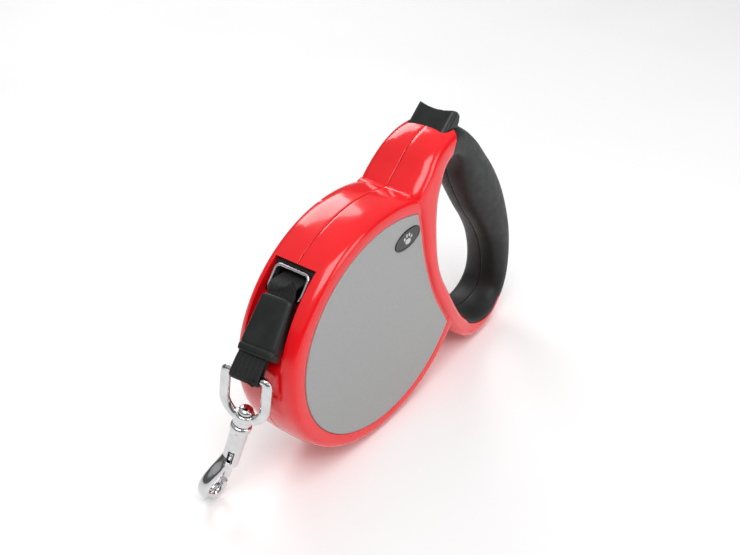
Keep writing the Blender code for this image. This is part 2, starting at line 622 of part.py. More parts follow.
def loop_round_bar(name):
    """Teardrop loop of tape round the D-ring's bar, closed above it."""
    _, wide, _ = frame_between(BAR, SWIVEL, hang_across())
    forward = wide.cross(Vector((0, 0, 1))).normalized()
    rise = forward.cross(wide)
    centre = Vector(BAR)
    inner = BAR_WIRE + GAP
    outer = inner + TAPE_THICK
    loops, hole = [], []
    for w in (-TAPE_WIDE / 2, TAPE_WIDE / 2):
        loop = []
        for i in range(24):
            angle = 2 * math.pi * i / 24
            up = math.sin(angle)
            stretch = 1.0 + max(up - 0.5, 0.0) * 1.4
            point = centre + wide * w + (forward * math.cos(angle) + rise * up * stretch) * outer
            loop.append(side(point.x, point.z, point.y))
        loops.append(loop)
    for w in (-TAPE_WIDE, TAPE_WIDE):
        points = [centre + wide * w + (forward * math.cos(a) + rise * math.sin(a)) * inner
                  for a in (2 * math.pi * k / 16 for k in range(16))]
        hole.append([side(p.x, p.z, p.y) for p in points])
    return boolean(from_grid(name, loops), from_grid("eye", hole), "DIFFERENCE")


def stop_block(middle):
    """Rounded rubber block, narrower at its top and with a bead along its lower edge."""
    down = Vector((BLOCK_RUN[0], 0, BLOCK_RUN[1]))
    out = Vector((BLOCK_OUT[0], 0, BLOCK_OUT[1]))
    turn = Matrix.Rotation(math.radians(-HANG_YAW / 2), 3, "Z")
    down, out, wide = turn @ down, turn @ out, turn @ Vector((0, 1, 0))
    centre = Vector((middle[0], BLOCK_Y, middle[1]))
    # Stations down the block: (place, width, thickness), each against the full size
    stations = ((-1.0, 0.66, 0.72), (-0.96, 0.78, 0.86), (-0.88, 0.84, 0.94), (0.62, 0.97, 0.98),
                (0.72, 0.95, 0.94), (0.79, 1.0, 1.02), (0.93, 1.0, 1.02), (1.0, 0.9, 0.86))
    loops = []
    for t, size, deep in stations:
        loop = []
        for i in range(28):
            angle = 2 * math.pi * (i + 0.5) / 28
            c, s = math.cos(angle), math.sin(angle)
            a = math.copysign(abs(c) ** 0.36, c) * BLOCK_WIDE / 2 * size
            b = math.copysign(abs(s) ** 0.36, s) * BLOCK_THICK / 2 * deep
            point = centre + down * (BLOCK_LONG / 2 * t) + wide * a + out * b
            loop.append(side(point.x, point.z, point.y))
        loops.append(loop)
    return from_grid("stop_block", loops)


def frame_between(start, end, hint):
    """Axes for a piece that runs from start to end: its run, and two across it."""
    run = (Vector(end) - Vector(start)).normalized()
    first = (hint - run * hint.dot(run)).normalized()
    return run, first, run.cross(first)


def local_points(origin, axes, points):
    run, first, second = axes
    made = []
    for a, b, c in points:
        p = Vector(origin) + first * a + second * b + run * c
        made.append(side(p.x, p.z, p.y))
    return made


def wire_loop(name, origin, axes, path, radius, sides=10):
    """Bar bent along a closed flat path of (across, along, half width in the path's plane)."""
    middle = np.mean(np.array(path), axis=0)[:2]
    loops = []
    count = len(path)
    for i, (a, c, flat) in enumerate(path):
        before, after = path[i - 1], path[(i + 1) % count]
        tangent = np.array((after[0] - before[0], after[1] - before[1]))
        tangent = tangent / np.linalg.norm(tangent)
        normal = np.array((-tangent[1], tangent[0]))
        if np.dot(normal, np.array((a, c)) - middle) < 0:
            normal = -normal
        ring = []
        for k in range(sides):
            angle = 2 * math.pi * k / sides
            out, lift = math.cos(angle) * flat, math.sin(angle) * radius
            ring.append((a + normal[0] * out, lift, c + normal[1] * out))
        loops.append(local_points(origin, axes, ring))
    return from_grid(name, loops, closed_rows=True)


def turned(name, origin, axes, profile, count=16):
    """Solid of revolution about the run: profile is (radius, along) pairs, end to end."""
    loops = []
    for radius, c in profile:
        loops.append(local_points(origin, axes, [(radius * math.cos(2 * math.pi * k / count),
                                                  radius * math.sin(2 * math.pi * k / count), c)
                                                 for k in range(count)]))
    return from_grid(name, loops)


def make_ring_and_snap():
    """The D-ring on the end of the tape, the swivel rivet and the bolt snap."""
    axes = frame_between(BAR, SWIVEL, hang_across())
    length = (Vector(SWIVEL) - Vector(BAR)).length
    corner = RING_HALF - 0.6
    path = [(a, 0.0, BAR_WIRE) for a in np.linspace(-corner + 1.0, corner - 1.0, 5)]
    path += [(corner, 0.5, 1.8), (RING_HALF, 2.4, RING_FLAT)]
    for i in range(11):
        angle = math.radians(6 + 168 * i / 10)
        path.append((RING_HALF * math.cos(angle), length - RING_HALF + RING_HALF * math.sin(angle),
                     RING_FLAT))
    path += [(-RING_HALF, 2.4, RING_FLAT), (-corner, 0.5, 1.8)]
    ring = wire_loop("d_ring", BAR, axes, path, BAR_WIRE)
    snap_axes = frame_between(SWIVEL, SNAP_TIP, Vector(HOOK_TOWARD))
    pad = turned("pad", SWIVEL, snap_axes, ((3.4, -3.6), (4.0, -3.2), (4.0, 1.7), (3.4, 2.1)))
    boolean(ring, pad, "UNION")
    hole = turned("hole", SWIVEL, snap_axes, ((RIVET_R + GAP, -9.0), (RIVET_R + GAP, 9.0)), 16)
    boolean(ring, hole, "DIFFERENCE")
    finish(ring, (CHROME, 0.06, 1.0), 45, side(BAR[0], BAR[2], BAR[1]))

    # The swivel rivet's head stands inside the D-ring
    pivot = side(SWIVEL[0], SWIVEL[2], SWIVEL[1])
    rivet = turned("swivel_rivet", SWIVEL, snap_axes,
                   ((1.6, -6.4), (2.6, -6.0), (3.1, -5.1), (3.1, -4.0), (RIVET_R, -3.9),
                    (RIVET_R, 3.4)), 16)
    finish(rivet, (CHROME, 0.06, 1.0), 35, pivot)
    make_snap(snap_axes, pivot)


def make_snap(axes, pivot):
    """Bolt snap: a slotted barrel with a curved hook, and a sprung bolt with a thumb stud."""
    body = turned("snap_body", SWIVEL, axes, ((3.4, 2.6), (4.4, 3.5), (4.4, 5.2), (3.9, 6.2),
                                              (3.7, BARREL_END - 0.6), (3.4, BARREL_END)), 18)
    loops = []
    for i, (a, c, thin, wide) in enumerate(HOOK):
        before, after = HOOK[max(i - 1, 0)], HOOK[min(i + 1, len(HOOK) - 1)]
        tangent = np.array((after[0] - before[0], after[1] - before[1]))
        tangent = tangent / np.linalg.norm(tangent)
        ring = []
        for k in range(12):
            angle = 2 * math.pi * k / 12
            out, lift = math.cos(angle) * thin, math.sin(angle) * wide
            ring.append((a - tangent[1] * out, lift, c + tangent[0] * out))
        loops.append(local_points(SWIVEL, axes, ring))
    boolean(body, from_grid("hook", loops), "UNION")
    boolean(body, turned("bore", SWIVEL, axes, ((2.35, 9.0), (2.35, BARREL_END + 3.0)), 14), "DIFFERENCE")
    boolean(body, turned("rivet_hole", SWIVEL, axes, ((RIVET_R + GAP, 2.0), (RIVET_R + GAP, 3.8)), 14),
            "DIFFERENCE")
    stud_axes = frame_between(SWIVEL, SNAP_TIP, Vector(STUD_TOWARD))
    boolean(body, stud_bar("slot", stud_axes, 1.3, 1.0, 6.0, STUD_AT[0] - 4.6, STUD_AT[1] + 0.3),
            "DIFFERENCE")
    finish(body, (CHROME, 0.06, 1.0), 40, pivot)

    bolt = turned("snap_bolt", SWIVEL, axes, ((2.0, STUD_AT[0] - 2.0), (2.0, BOLT_END - 0.8),
                                              (1.5, BOLT_END)), 14)
    boolean(bolt, stud_bar("stud", stud_axes, 1.0, 1.2, 5.4, *STUD_AT), "UNION")
    finish(bolt, (CHROME, 0.1, 1.0), 35, pivot)

    spring_at = Vector(SWIVEL) + axes[0] * 9.3
    coil_spring("snap_spring", side(spring_at.x, spring_at.z, spring_at.y), axes[0],
                STUD_AT[0] - 2.3 - 9.3, 1.5, 0.5, 5, 10)


def stud_bar(name, axes, half, inner, outer, low, high):
    """Bar that stands out sideways from the snap's bolt."""
    corners = ((inner, -half), (outer, -half), (outer, half), (inner, half))
    points = [local_points(SWIVEL, axes, [(a, b, c) for a, b in corners]) for c in (low, high)]
    return from_grid(name, points)


clear_scene()
make_casing()
make_panels()
make_screws()
make_reel()
make_brake()
make_outlet()
make_tape()
make_ring_and_snap()
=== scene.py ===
import json
import math

import bmesh
import bpy
import numpy as np
from mathutils import Matrix, Vector

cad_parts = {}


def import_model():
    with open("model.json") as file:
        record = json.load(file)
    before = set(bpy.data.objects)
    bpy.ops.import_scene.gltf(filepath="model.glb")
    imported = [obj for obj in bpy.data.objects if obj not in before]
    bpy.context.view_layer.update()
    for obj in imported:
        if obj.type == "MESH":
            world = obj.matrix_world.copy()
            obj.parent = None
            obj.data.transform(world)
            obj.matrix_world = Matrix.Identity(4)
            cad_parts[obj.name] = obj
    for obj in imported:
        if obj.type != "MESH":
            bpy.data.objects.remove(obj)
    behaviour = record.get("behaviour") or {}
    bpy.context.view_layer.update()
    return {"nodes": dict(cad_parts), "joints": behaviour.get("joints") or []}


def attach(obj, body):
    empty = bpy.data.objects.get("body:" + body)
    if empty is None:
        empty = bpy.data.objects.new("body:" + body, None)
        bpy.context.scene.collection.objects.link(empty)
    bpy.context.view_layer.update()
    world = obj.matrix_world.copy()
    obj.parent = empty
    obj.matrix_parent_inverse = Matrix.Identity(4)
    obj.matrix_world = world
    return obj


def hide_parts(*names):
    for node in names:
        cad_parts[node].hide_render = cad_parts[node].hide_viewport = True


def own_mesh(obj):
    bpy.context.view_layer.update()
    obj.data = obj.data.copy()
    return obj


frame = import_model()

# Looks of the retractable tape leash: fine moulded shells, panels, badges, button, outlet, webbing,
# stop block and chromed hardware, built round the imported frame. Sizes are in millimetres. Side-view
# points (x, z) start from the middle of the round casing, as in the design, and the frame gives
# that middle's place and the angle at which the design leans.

MM = 0.001
GAP = 0.3
JOINTS = {joint["name"]: joint for joint in frame["joints"]}
PULL = JOINTS["tape_pull"]["axis"]
LEAN = math.atan2(PULL[2], -PULL[0])
AXLE = Vector(JOINTS["reel_spin"]["pos_m"])

# Round casing. Its steps are (half width along Y, cut off its radius), and the first one only
# leads the curve in
CASE_LONG, CASE_SHORT, CASE_TILT = 61.3, 55.0, 6.0
CASE_STEPS = ((-8.0, 0.25), (0.0, 0.0), (8.0, 0.25), (12.0, 0.9), (14.1, 1.8), (15.0, 2.9),
              (15.3, 4.2), (15.32, 5.8), (15.2, 7.4), (14.9, 9.0))
WALL, CAVITY_HALF = 2.2, 12.4
SEAM_HALF = GAP / 2
PANEL_LONG, PANEL_SHORT = 52.6, 47.2
PANEL_THICK, PANEL_FACE = 1.5, 15.5
BADGE, BADGE_LONG, BADGE_SHORT, BADGE_TILT = (12.3, 36.2), 8.6, 4.3, 6.0

# Hand ring and button tower: (outer x, outer z, inner x, inner z, half width, squareness)
RING = (
    (17.6, 51.4, 37.0, 44.0, 16.0, 4.4), (25.0, 59.0, 39.0, 50.0, 15.6, 4.2),
    (33.4, 66.2, 42.0, 53.4, 14.6, 3.6), (43.0, 70.2, 46.0, 55.8, 13.9, 3.1),
    (53.3, 70.6, 51.0, 55.8, 13.2, 3.0), (63.2, 65.6, 57.0, 52.5, 12.6, 2.9),
    (73.4, 57.4, 61.5, 46.0, 12.0, 2.8), (82.2, 48.6, 64.8, 38.0, 11.5, 2.6),
    (91.6, 37.8, 70.4, 28.2, 11.2, 2.6), (100.0, 25.2, 78.0, 16.5, 11.0, 2.6),
    (106.0, 11.4, 86.8, 4.8, 11.0, 2.6), (109.8, -2.7, 93.8, -6.8, 11.0, 2.6),
    (110.8, -17.0, 98.0, -20.0, 11.0, 2.6), (108.8, -30.4, 98.0, -30.4, 11.2, 2.6),
    (102.4, -41.8, 93.6, -36.0, 11.6, 2.7), (93.0, -48.8, 85.8, -38.4, 12.2, 2.8),
    (82.0, -51.6, 77.0, -37.6, 12.8, 3.0), (72.0, -49.4, 69.5, -34.2, 13.6, 3.2),
    (62.0, -42.0, 61.0, -27.0, 14.6, 3.8), (50.5, -29.5, 54.0, -18.0, 15.6, 4.4),
    (42.0, -16.5, 47.0, -7.0, 16.2, 4.4), (34.5, -3.5, 40.5, 4.5, 16.2, 4.4),
    (29.0, 10.0, 37.0, 14.0, 16.2, 4.4), (25.0, 23.0, 35.6, 24.0, 16.2, 4.4),
    (22.5, 35.0, 35.2, 34.0, 16.2, 4.4), (20.0, 44.0, 35.8, 40.0, 16.2, 4.4),
)
GRIP_THICK = 2.2
# Edge of the soft grip across the tower and the foot of the ring, then far corners outside it
GRIP_TOP = ((53.5, 90.0), (52.6, 74.0), (49.6, 67.0), (46.7, 60.5), (45.5, 50.0))
GRIP_FOOT = ((64.0, -25.0), (66.0, -34.5), (72.5, -40.0), (83.0, -43.8), (92.5, -43.2),
             (100.0, -38.0), (122.0, -34.0))
GRIP_SEAM = 0.3

REEL_X, REEL_Z, COIL_R, AXLE_R = -8.0, -1.0, 36.0, 2.5
TAPE_WIDE, TAPE_THICK, TAPE_Y = 12.5, 1.2, 1.2
BUTTON_TIP, BUTTON_UP = (53.7, 77.4), (0.76, 0.65)
BUTTON_ACROSS = (BUTTON_UP[1], -BUTTON_UP[0])
BUTTON_WIDE, BUTTON_DEEP, BUTTON_TALL = 19.6, 8.6, 19.0
PAWL_UP, PAWL_Y = (0.57, 0.82), TAPE_Y - TAPE_WIDE / 2 - GAP - 1.0

# Outlet flat, square to OUT: its distance and half width, where the tape bends on it, and the
# mouth's (top, bottom) along DOWN
OUT, DOWN = (-0.777, 0.63), (-0.63, -0.777)
FLAT_AT, FLAT_HALF = 52.6, 10.4
BEND = (-43.6, 35.9)
MOUTH, MOUTH_HALF = (-5.6, 3.0), 7.4
# Stop block on the hanging tape, which turns further about the vertical as it goes down
BLOCK_TOP, BLOCK_Y = (-47.3, 31.9), -0.3
BLOCK_RUN, BLOCK_OUT = (-0.683, -0.731), (-0.731, 0.683)
BLOCK_LONG, BLOCK_WIDE, BLOCK_THICK = 23.8, 17.2, 6.6
HANG_YAW, BLOCK_FOOT_YAW = -12.0, -8.0

# D-ring and snap, as (x, y, z) where x and z are side-view coordinates
BAR, SWIVEL, SNAP_TIP = (-67.2, 1.5, 6.6), (-69.0, 3.5, -14.7), (-73.5, 15.6, -55.0)
BAR_WIRE, RING_HALF, RING_FLAT, RIVET_R = 1.6, 9.25, 2.2, 1.6
BARREL_END, BOLT_END, STUD_AT = 26.4, 34.2, (21.4, 23.4)
BORE_FOOT, SPRING_FOOT, SPRING_HEAD = 9.0, 9.3, STUD_AT[0] - 2.3
STUD_TOWARD = (-0.9, -0.44, 0.0)
HOOK_TOWARD = (-0.98, 0.2, 0.0)
# Hook: (sideways, along, half thickness, half width)
HOOK = ((2.0, 22.0, 2.0, 3.0), (4.2, 25.6, 2.0, 3.0), (7.2, 29.4, 2.0, 3.0), (9.5, 33.6, 2.0, 3.0),
        (10.0, 37.8, 2.0, 3.0), (8.2, 41.4, 2.0, 2.9), (4.8, 43.0, 2.0, 2.7), (1.6, 41.8, 1.7, 2.4),
        (0.2, 39.2, 1.5, 2.2), (0.2, 36.6, 1.3, 2.0))
# Case screws: (x, z, half length of the boss)
SCREWS = ((-45.2, -30.0, 12.8), (43.1, -32.0, 12.5), (-8.0, 50.2, 12.8), (17.0, 50.3, 12.8),
          (75.5, -44.6, 10.9))

# Camera, aimed in the casing's own leaning frame: angles in degrees, distances in millimetres
CAMERA_TURN, CAMERA_RISE, CAMERA_LENS = 52.1, 32.2, 48.65
CAMERA_AWAY, CAMERA_RIGHT, CAMERA_UP = 428.0, 4.4, 14.9


# ---- Places ----

def lean(x, z):
    return x * math.cos(LEAN) + z * math.sin(LEAN), z * math.cos(LEAN) - x * math.sin(LEAN)


REEL_OFF = lean(REEL_X, REEL_Z)
MIDDLE = AXLE - Vector((REEL_OFF[0], 0, REEL_OFF[1])) * MM


def side(x, z, y=0.0):
    """World point of a side-view point."""
    x, z = lean(x, z)
    return Vector((MIDDLE.x + x * MM, y * MM, MIDDLE.z + z * MM))


def side_direction(x, z, y=0.0):
    x, z = lean(x, z)
    return Vector((x, y, z))


def world(point):
    """World point of a vector in the side view's own x, y and z."""
    return side(point.x, point.z, point.y)


def world_direction(way):
    return side_direction(way.x, way.z, way.y)


# ---- Shape helpers ----

def new_object(name, mesh):
    item = bpy.data.objects.new(name, mesh)
    bpy.context.scene.collection.objects.link(item)
    return item


def from_bmesh(name, build):
    bmesh.ops.recalc_face_normals(build, faces=build.faces)
    mesh = bpy.data.meshes.new(name)
    build.to_mesh(mesh)
    build.free()
    return new_object(name, mesh)


def from_grid(name, rings, closed_rows=False):
    """A closed solid from rings of points, each a loop joined to the next, capped at its ends
    unless the rows close on themselves."""
    build = bmesh.new()
    rows = [[build.verts.new(point) for point in ring] for ring in rings]
    count = len(rows[0])
    pairs = list(zip(rows, rows[1:]))
    if closed_rows:
        pairs.append((rows[-1], rows[0]))
    for low, high in pairs:
        for i in range(count):
            j = (i + 1) % count
            build.faces.new((low[i], low[j], high[j], high[i]))
    if not closed_rows:
        build.faces.new(rows[0][::-1])
        build.faces.new(rows[-1])
    return from_bmesh(name, build)


def settle(item):
    """Applies the object's modifiers to its mesh."""
    graph = bpy.context.evaluated_depsgraph_get()
    mesh = bpy.data.meshes.new_from_object(item.evaluated_get(graph))
    item.modifiers.clear()
    item.data = mesh
    return item


def boolean(item, other, operation, solver="MANIFOLD"):
    """Joins, cuts or trims the item with the other object, which is used up."""
    modifier = item.modifiers.new(operation, "BOOLEAN")
    modifier.object = other
    modifier.operation = operation
    modifier.solver = solver
    settle(item)
    bpy.data.objects.remove(other, do_unlink=True)
    return item


def round_edges(item, width, segments=3, angle=40.0):
    """Rounds the object's sharp edges by a width in millimetres."""
    modifier = item.modifiers.new("edges", "BEVEL")
    modifier.width = width * MM
    modifier.segments = segments
    modifier.limit_method = "ANGLE"
    modifier.angle_limit = math.radians(angle)
    return settle(item)


def remesh(item, voxel, smooth):
    """Melts the object's joins into one cast surface."""
    modifier = item.modifiers.new("cast", "REMESH")
    modifier.mode = "VOXEL"
    modifier.voxel_size = voxel * MM
    modifier.use_smooth_shade = True
    settle(item)
    modifier = item.modifiers.new("smooth", "SMOOTH")
    modifier.factor = 0.5
    modifier.iterations = smooth
    return settle(item)


def copy_of(item, name):
    return new_object(name, item.data.copy())


def smooth_closed(points, per_span):
    """Closed Catmull-Rom curve through rows of numbers."""
    rows = np.array(points, float)
    before, after, later = (np.roll(rows, step, 0) for step in (1, -1, -2))
    return catmull_rom(before, rows, after, later, per_span)


def smooth_open(points, per_span):
    """Open Catmull-Rom curve through rows of numbers, its last row included."""
    rows = np.array(points, float)
    rows = np.vstack((2 * rows[0] - rows[1], rows, 2 * rows[-1] - rows[-2]))
    curve = catmull_rom(rows[:-3], rows[1:-2], rows[2:-1], rows[3:], per_span)
    return np.vstack((curve, rows[-2]))


def catmull_rom(before, here, after, later, per_span):
    steps = []
    for t in np.arange(per_span) / per_span:
        steps.append(0.5 * (2 * here + (after - before) * t
                            + (2 * before - 5 * here + 4 * after - later) * t ** 2
                            + (3 * here - before - 3 * after + later) * t ** 3))
    return np.stack(steps, 1).reshape(-1, here.shape[1])


def prism(name, outline, low, high):
    return from_grid(name, [[side(x, z, y) for x, z in outline] for y in (low, high)])


def circle(count, offset=0.0):
    """(cosine, sine) pairs once round."""
    angles = [2 * math.pi * (i + offset) / count for i in range(count)]
    return [(math.cos(angle), math.sin(angle)) for angle in angles]


def squared(value, power):
    """Pushes a cosine or sine outwards, which turns a circle toward a square."""
    return math.copysign(abs(value) ** power, value)


def rounded_rectangle(low_a, high_a, low_b, high_b, corner, steps):
    """(a, b) points round a rectangle with round corners."""
    points = []
    left, right, near, far = low_a + corner, high_a - corner, low_b + corner, high_b - corner
    for a, b, first in ((right, far, 0), (left, far, 90), (left, near, 180), (right, near, 270)):
        for step in range(steps + 1):
            angle = math.radians(first + 90 * step / steps)
            points.append((a + corner * math.cos(angle), b + corner * math.sin(angle)))
    return points


def disc(name, x, z, radius, low, high, count=48):
    return prism(name, [(x + radius * c, z + radius * s) for c, s in circle(count)], low, high)


def slab(name, out, down, half):
    """Block square to the outlet flat."""
    corners = [(out[0], down[0]), (out[1], down[0]), (out[1], down[1]), (out[0], down[1])]
    outline = [(OUT[0] * a + DOWN[0] * b, OUT[1] * a + DOWN[1] * b) for a, b in corners]
    return prism(name, outline, TAPE_Y - half, TAPE_Y + half)


def ellipse(middle, radii, tilt, count):
    """Side-view outline of a tilted ellipse."""
    tilt = math.radians(tilt)
    outline = []
    for c, s in circle(count):
        a, b = radii[0] * c, radii[1] * s
        outline.append((middle[0] + a * math.cos(tilt) - b * math.sin(tilt),
                        middle[1] + a * math.sin(tilt) + b * math.cos(tilt)))
    return outline


def stacked(name, outline_of, steps, sign=1):
    """Solid whose outline is outline_of(inset) at each (y, inset) step."""
    rows = [[side(x, z, sign * y) for x, z in outline_of(inset)] for y, inset in steps]
    return from_grid(name, rows)


def half_space(name, low, high):
    return prism(name, [(-150, -120), (180, -120), (180, 150), (-150, 150)], low, high)


def shade(item, look, body, nodes=(), smooth=32.0):
    """Material, shading and place in the frame of a finished piece."""
    item.data.materials.clear()
    item.data.materials.append(look)
    item.data.polygons.foreach_set("use_smooth", [True] * len(item.data.polygons))
    item.data.set_sharp_from_angle(angle=math.radians(smooth))
    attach(item, body)
    if nodes:
        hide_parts(*nodes)
    return item


# ---- Materials ----

def node(tree, kind, **values):
    made = tree.nodes.new("ShaderNode" + kind)
    for key, value in values.items():
        if hasattr(made, key):
            setattr(made, key, value)
        else:
            made.inputs[key.replace("_", " ").title()].default_value = value
    return made


def material(name, colour, roughness, metallic=0.0, coat=0.0, sheen=0.0, specular=0.5):
    made = bpy.data.materials.new(name)
    made.use_nodes = True
    shader = made.node_tree.nodes["Principled BSDF"]
    shader.inputs["Base Color"].default_value = (*colour, 1.0)
    shader.inputs["Roughness"].default_value = roughness
    shader.inputs["Metallic"].default_value = metallic
    shader.inputs["Coat Weight"].default_value = coat
    shader.inputs["Coat Roughness"].default_value = 0.04
    shader.inputs["Sheen Weight"].default_value = sheen
    shader.inputs["Sheen Roughness"].default_value = 0.6
    shader.inputs["Specular IOR Level"].default_value = specular
    made.diffuse_color = (*colour, 1.0)
    return made


def object_noise(tree, scale, detail=4.0, stretch=None):
    place = node(tree, "TexCoord").outputs["Object"]
    if stretch:
        mapping = node(tree, "Mapping")
        mapping.inputs["Scale"].default_value = stretch
        tree.links.new(place, mapping.inputs["Vector"])
        place = mapping.outputs["Vector"]
    noise = node(tree, "TexNoise", scale=scale, detail=detail)
    tree.links.new(place, noise.inputs["Vector"])
    return noise.outputs["Fac"]


def vary_colour(made, fac, low, high, start=0.35, end=0.65):
    """Base colour that drifts between two tones."""
    tree = made.node_tree
    ramp = node(tree, "ValToRGB")
    ramp.color_ramp.elements[0].position = start
    ramp.color_ramp.elements[0].color = (*low, 1.0)
    ramp.color_ramp.elements[1].position = end
    ramp.color_ramp.elements[1].color = (*high, 1.0)
    tree.links.new(fac, ramp.inputs["Fac"])
    tree.links.new(ramp.outputs["Color"], tree.nodes["Principled BSDF"].inputs["Base Color"])


def vary_roughness(made, fac, low, high):
    tree = made.node_tree
    spread = node(tree, "MapRange")
    spread.inputs["From Min"].default_value = 0.3
    spread.inputs["From Max"].default_value = 0.7
    spread.inputs["To Min"].default_value = low
    spread.inputs["To Max"].default_value = high
    tree.links.new(fac, spread.inputs["Value"])
    tree.links.new(spread.outputs["Result"], tree.nodes["Principled BSDF"].inputs["Roughness"])


def relief(made, heights, edge=0.0):
    """Stacks bumps of (height output, depth in millimetres, strength) on rounded edges."""
    tree = made.node_tree
    normal = None
    if edge:
        normal = node(tree, "Bevel", samples=6, radius=edge * MM).outputs["Normal"]
    for height, depth, strength in heights:
        bump = node(tree, "Bump", distance=depth * MM, strength=strength)
        tree.links.new(height, bump.inputs["Height"])
        if normal:
            tree.links.new(normal, bump.inputs["Normal"])
        normal = bump.outputs["Normal"]
    tree.links.new(normal, tree.nodes["Principled BSDF"].inputs["Normal"])
    return made


def red_plastic():
    made = material("gloss_red", (0.86, 0.004, 0.009), 0.16, coat=0.35, specular=0.4)
    tree = made.node_tree
    vary_colour(made, object_noise(tree, 45, 6), (0.83, 0.0035, 0.008), (0.89, 0.006, 0.012))
    vary_roughness(made, object_noise(tree, 160, 6), 0.12, 0.21)
    ripple, grain = object_noise(tree, 260, 2), object_noise(tree, 1500, 2)
    return relief(made, [(ripple, 0.02, 0.25), (grain, 0.004, 0.3)], edge=0.2)


def grey_plastic():
    made = material("matt_grey", (0.37, 0.377, 0.373), 0.5, specular=0.35)
    tree = made.node_tree
    vary_colour(made, object_noise(tree, 1400, 4), (0.355, 0.362, 0.358), (0.385, 0.392, 0.388))
    vary_roughness(made, object_noise(tree, 700, 4), 0.42, 0.56)
    return relief(made, [(object_noise(tree, 2600, 3), 0.03, 0.5)], edge=0.3)


def grip_rubber():
    made = material("soft_black", (0.012, 0.013, 0.013), 0.5, sheen=0.03, specular=0.3)
    tree = made.node_tree
    vary_colour(made, object_noise(tree, 70, 8), (0.009, 0.010, 0.010), (0.016, 0.018, 0.018))
    vary_roughness(made, object_noise(tree, 320, 5), 0.42, 0.56)
    cells = node(tree, "TexVoronoi", scale=1500)
    tree.links.new(node(tree, "TexCoord").outputs["Object"], cells.inputs["Vector"])
    grain = object_noise(tree, 900, 3)
    return relief(made, [(cells.outputs["Distance"], 0.05, 0.45), (grain, 0.02, 0.3)], edge=0.35)


def black_plastic(name, roughness, grain, coat=0.0):
    made = material(name, (0.011, 0.012, 0.012), roughness, coat=coat, specular=0.35)
    tree = made.node_tree
    vary_colour(made, object_noise(tree, 120, 6), (0.008, 0.009, 0.009), (0.015, 0.016, 0.016))
    vary_roughness(made, object_noise(tree, 400, 4), roughness - 0.06, roughness + 0.08)
    return relief(made, [(object_noise(tree, 2200, 3), 0.03, grain)], edge=0.25)


def chrome(name, roughness=0.07):
    made = material(name, (0.64, 0.65, 0.66), roughness, metallic=1.0)
    tree = made.node_tree
    vary_colour(made, object_noise(tree, 300, 6), (0.60, 0.61, 0.62), (0.68, 0.685, 0.69))
    vary_roughness(made, object_noise(tree, 500, 8), roughness - 0.03, roughness + 0.09)
    ripple, grain = object_noise(tree, 280, 2), object_noise(tree, 1800, 4)
    return relief(made, [(ripple, 0.03, 0.35), (grain, 0.004, 0.4)])


def steel(name, roughness=0.28):
    made = material(name, (0.55, 0.56, 0.58), roughness, metallic=1.0)
    tree = made.node_tree
    drawn = object_noise(tree, 900, 6, stretch=(1.0, 0.08, 1.0))
    vary_colour(made, drawn, (0.48, 0.49, 0.51), (0.62, 0.63, 0.65))
    vary_roughness(made, drawn, roughness - 0.08, roughness + 0.12)
    return relief(made, [(drawn, 0.01, 0.4)])


def light_plastic(name, low, high, roughness):
    made = material(name, high, roughness)
    tree = made.node_tree
    vary_colour(made, object_noise(tree, 60, 6), low, high)
    vary_roughness(made, object_noise(tree, 350, 4), roughness - 0.06, roughness + 0.08)
    return relief(made, [(object_noise(tree, 1800, 3), 0.02, 0.4)], edge=0.2)


def webbing_nylon():
    """Woven tape: ribs of yarn along its length, crossed by slanted picks. Its UV map runs across
    and along the tape, in millimetres."""
    made = material("woven_nylon", (0.02, 0.021, 0.022), 0.62, sheen=0.06, specular=0.25)
    tree = made.node_tree
    link = tree.links.new
    parts = node(tree, "SeparateXYZ")
    link(node(tree, "TexCoord").outputs["UV"], parts.inputs["Vector"])

    def sums(operation, first, second=0.0):
        step = node(tree, "Math", operation=operation)
        for socket, value in zip(step.inputs, (first, second)):
            if isinstance(value, float):
                socket.default_value = value
            else:
                link(value, socket)
        return step.outputs["Value"]

    rib_step, pick_step, lean_of_pick = 1.04, 0.85, 0.9
    rib = sums("ABSOLUTE", sums("SINE", sums("MULTIPLY", parts.outputs["X"], math.pi / rib_step)))
    zigzag = sums("PINGPONG", parts.outputs["X"], rib_step)
    slant = sums("ADD", parts.outputs["Y"], sums("MULTIPLY", zigzag, lean_of_pick))
    pick = sums("SINE", sums("MULTIPLY", slant, 2 * math.pi / pick_step))
    weave = sums("ADD", rib, sums("MULTIPLY", pick, 0.45))
    fuzz = object_noise(tree, 3500, 5)
    vary_colour(made, sums("ADD", sums("MULTIPLY", weave, 0.45), sums("MULTIPLY", fuzz, 0.3)),
                (0.004, 0.0045, 0.005), (0.022, 0.023, 0.023), 0.1, 0.9)
    return relief(made, [(weave, 0.16, 0.8), (fuzz, 0.05, 0.4)])


LOOKS = {
    "red": red_plastic(),
    "grey": grey_plastic(),
    "grip": grip_rubber(),
    "button": black_plastic("satin_button", 0.34, 0.35),
    "outlet": black_plastic("satin_outlet", 0.38, 0.4),
    "block": black_plastic("satin_block", 0.44, 0.7),
    "badge": black_plastic("gloss_badge", 0.14, 0.05, coat=0.3),
    "mark": steel("silver_mark", 0.24),
    "chrome": chrome("chrome_hardware"),
    "guide": chrome("chrome_guide", 0.09),
    "screw": steel("screw_steel", 0.3),
    "spring": steel("spring_wire", 0.22),
    "white": light_plastic("natural_moulding", (0.68, 0.665, 0.62), (0.76, 0.75, 0.71), 0.42),
    "dark": light_plastic("dark_moulding", (0.04, 0.04, 0.045), (0.06, 0.06, 0.065), 0.4),
    "webbing": webbing_nylon(),
}


# ---- Casing and grip ----

def case_profile():
    """Fine (half width, cut) rows of the casing's side profile, from the middle outwards."""
    per_span = 8
    rows = smooth_open(CASE_STEPS, per_span)[per_span:]
    return [(max(float(y), 0.0), float(cut)) for y, cut in rows]


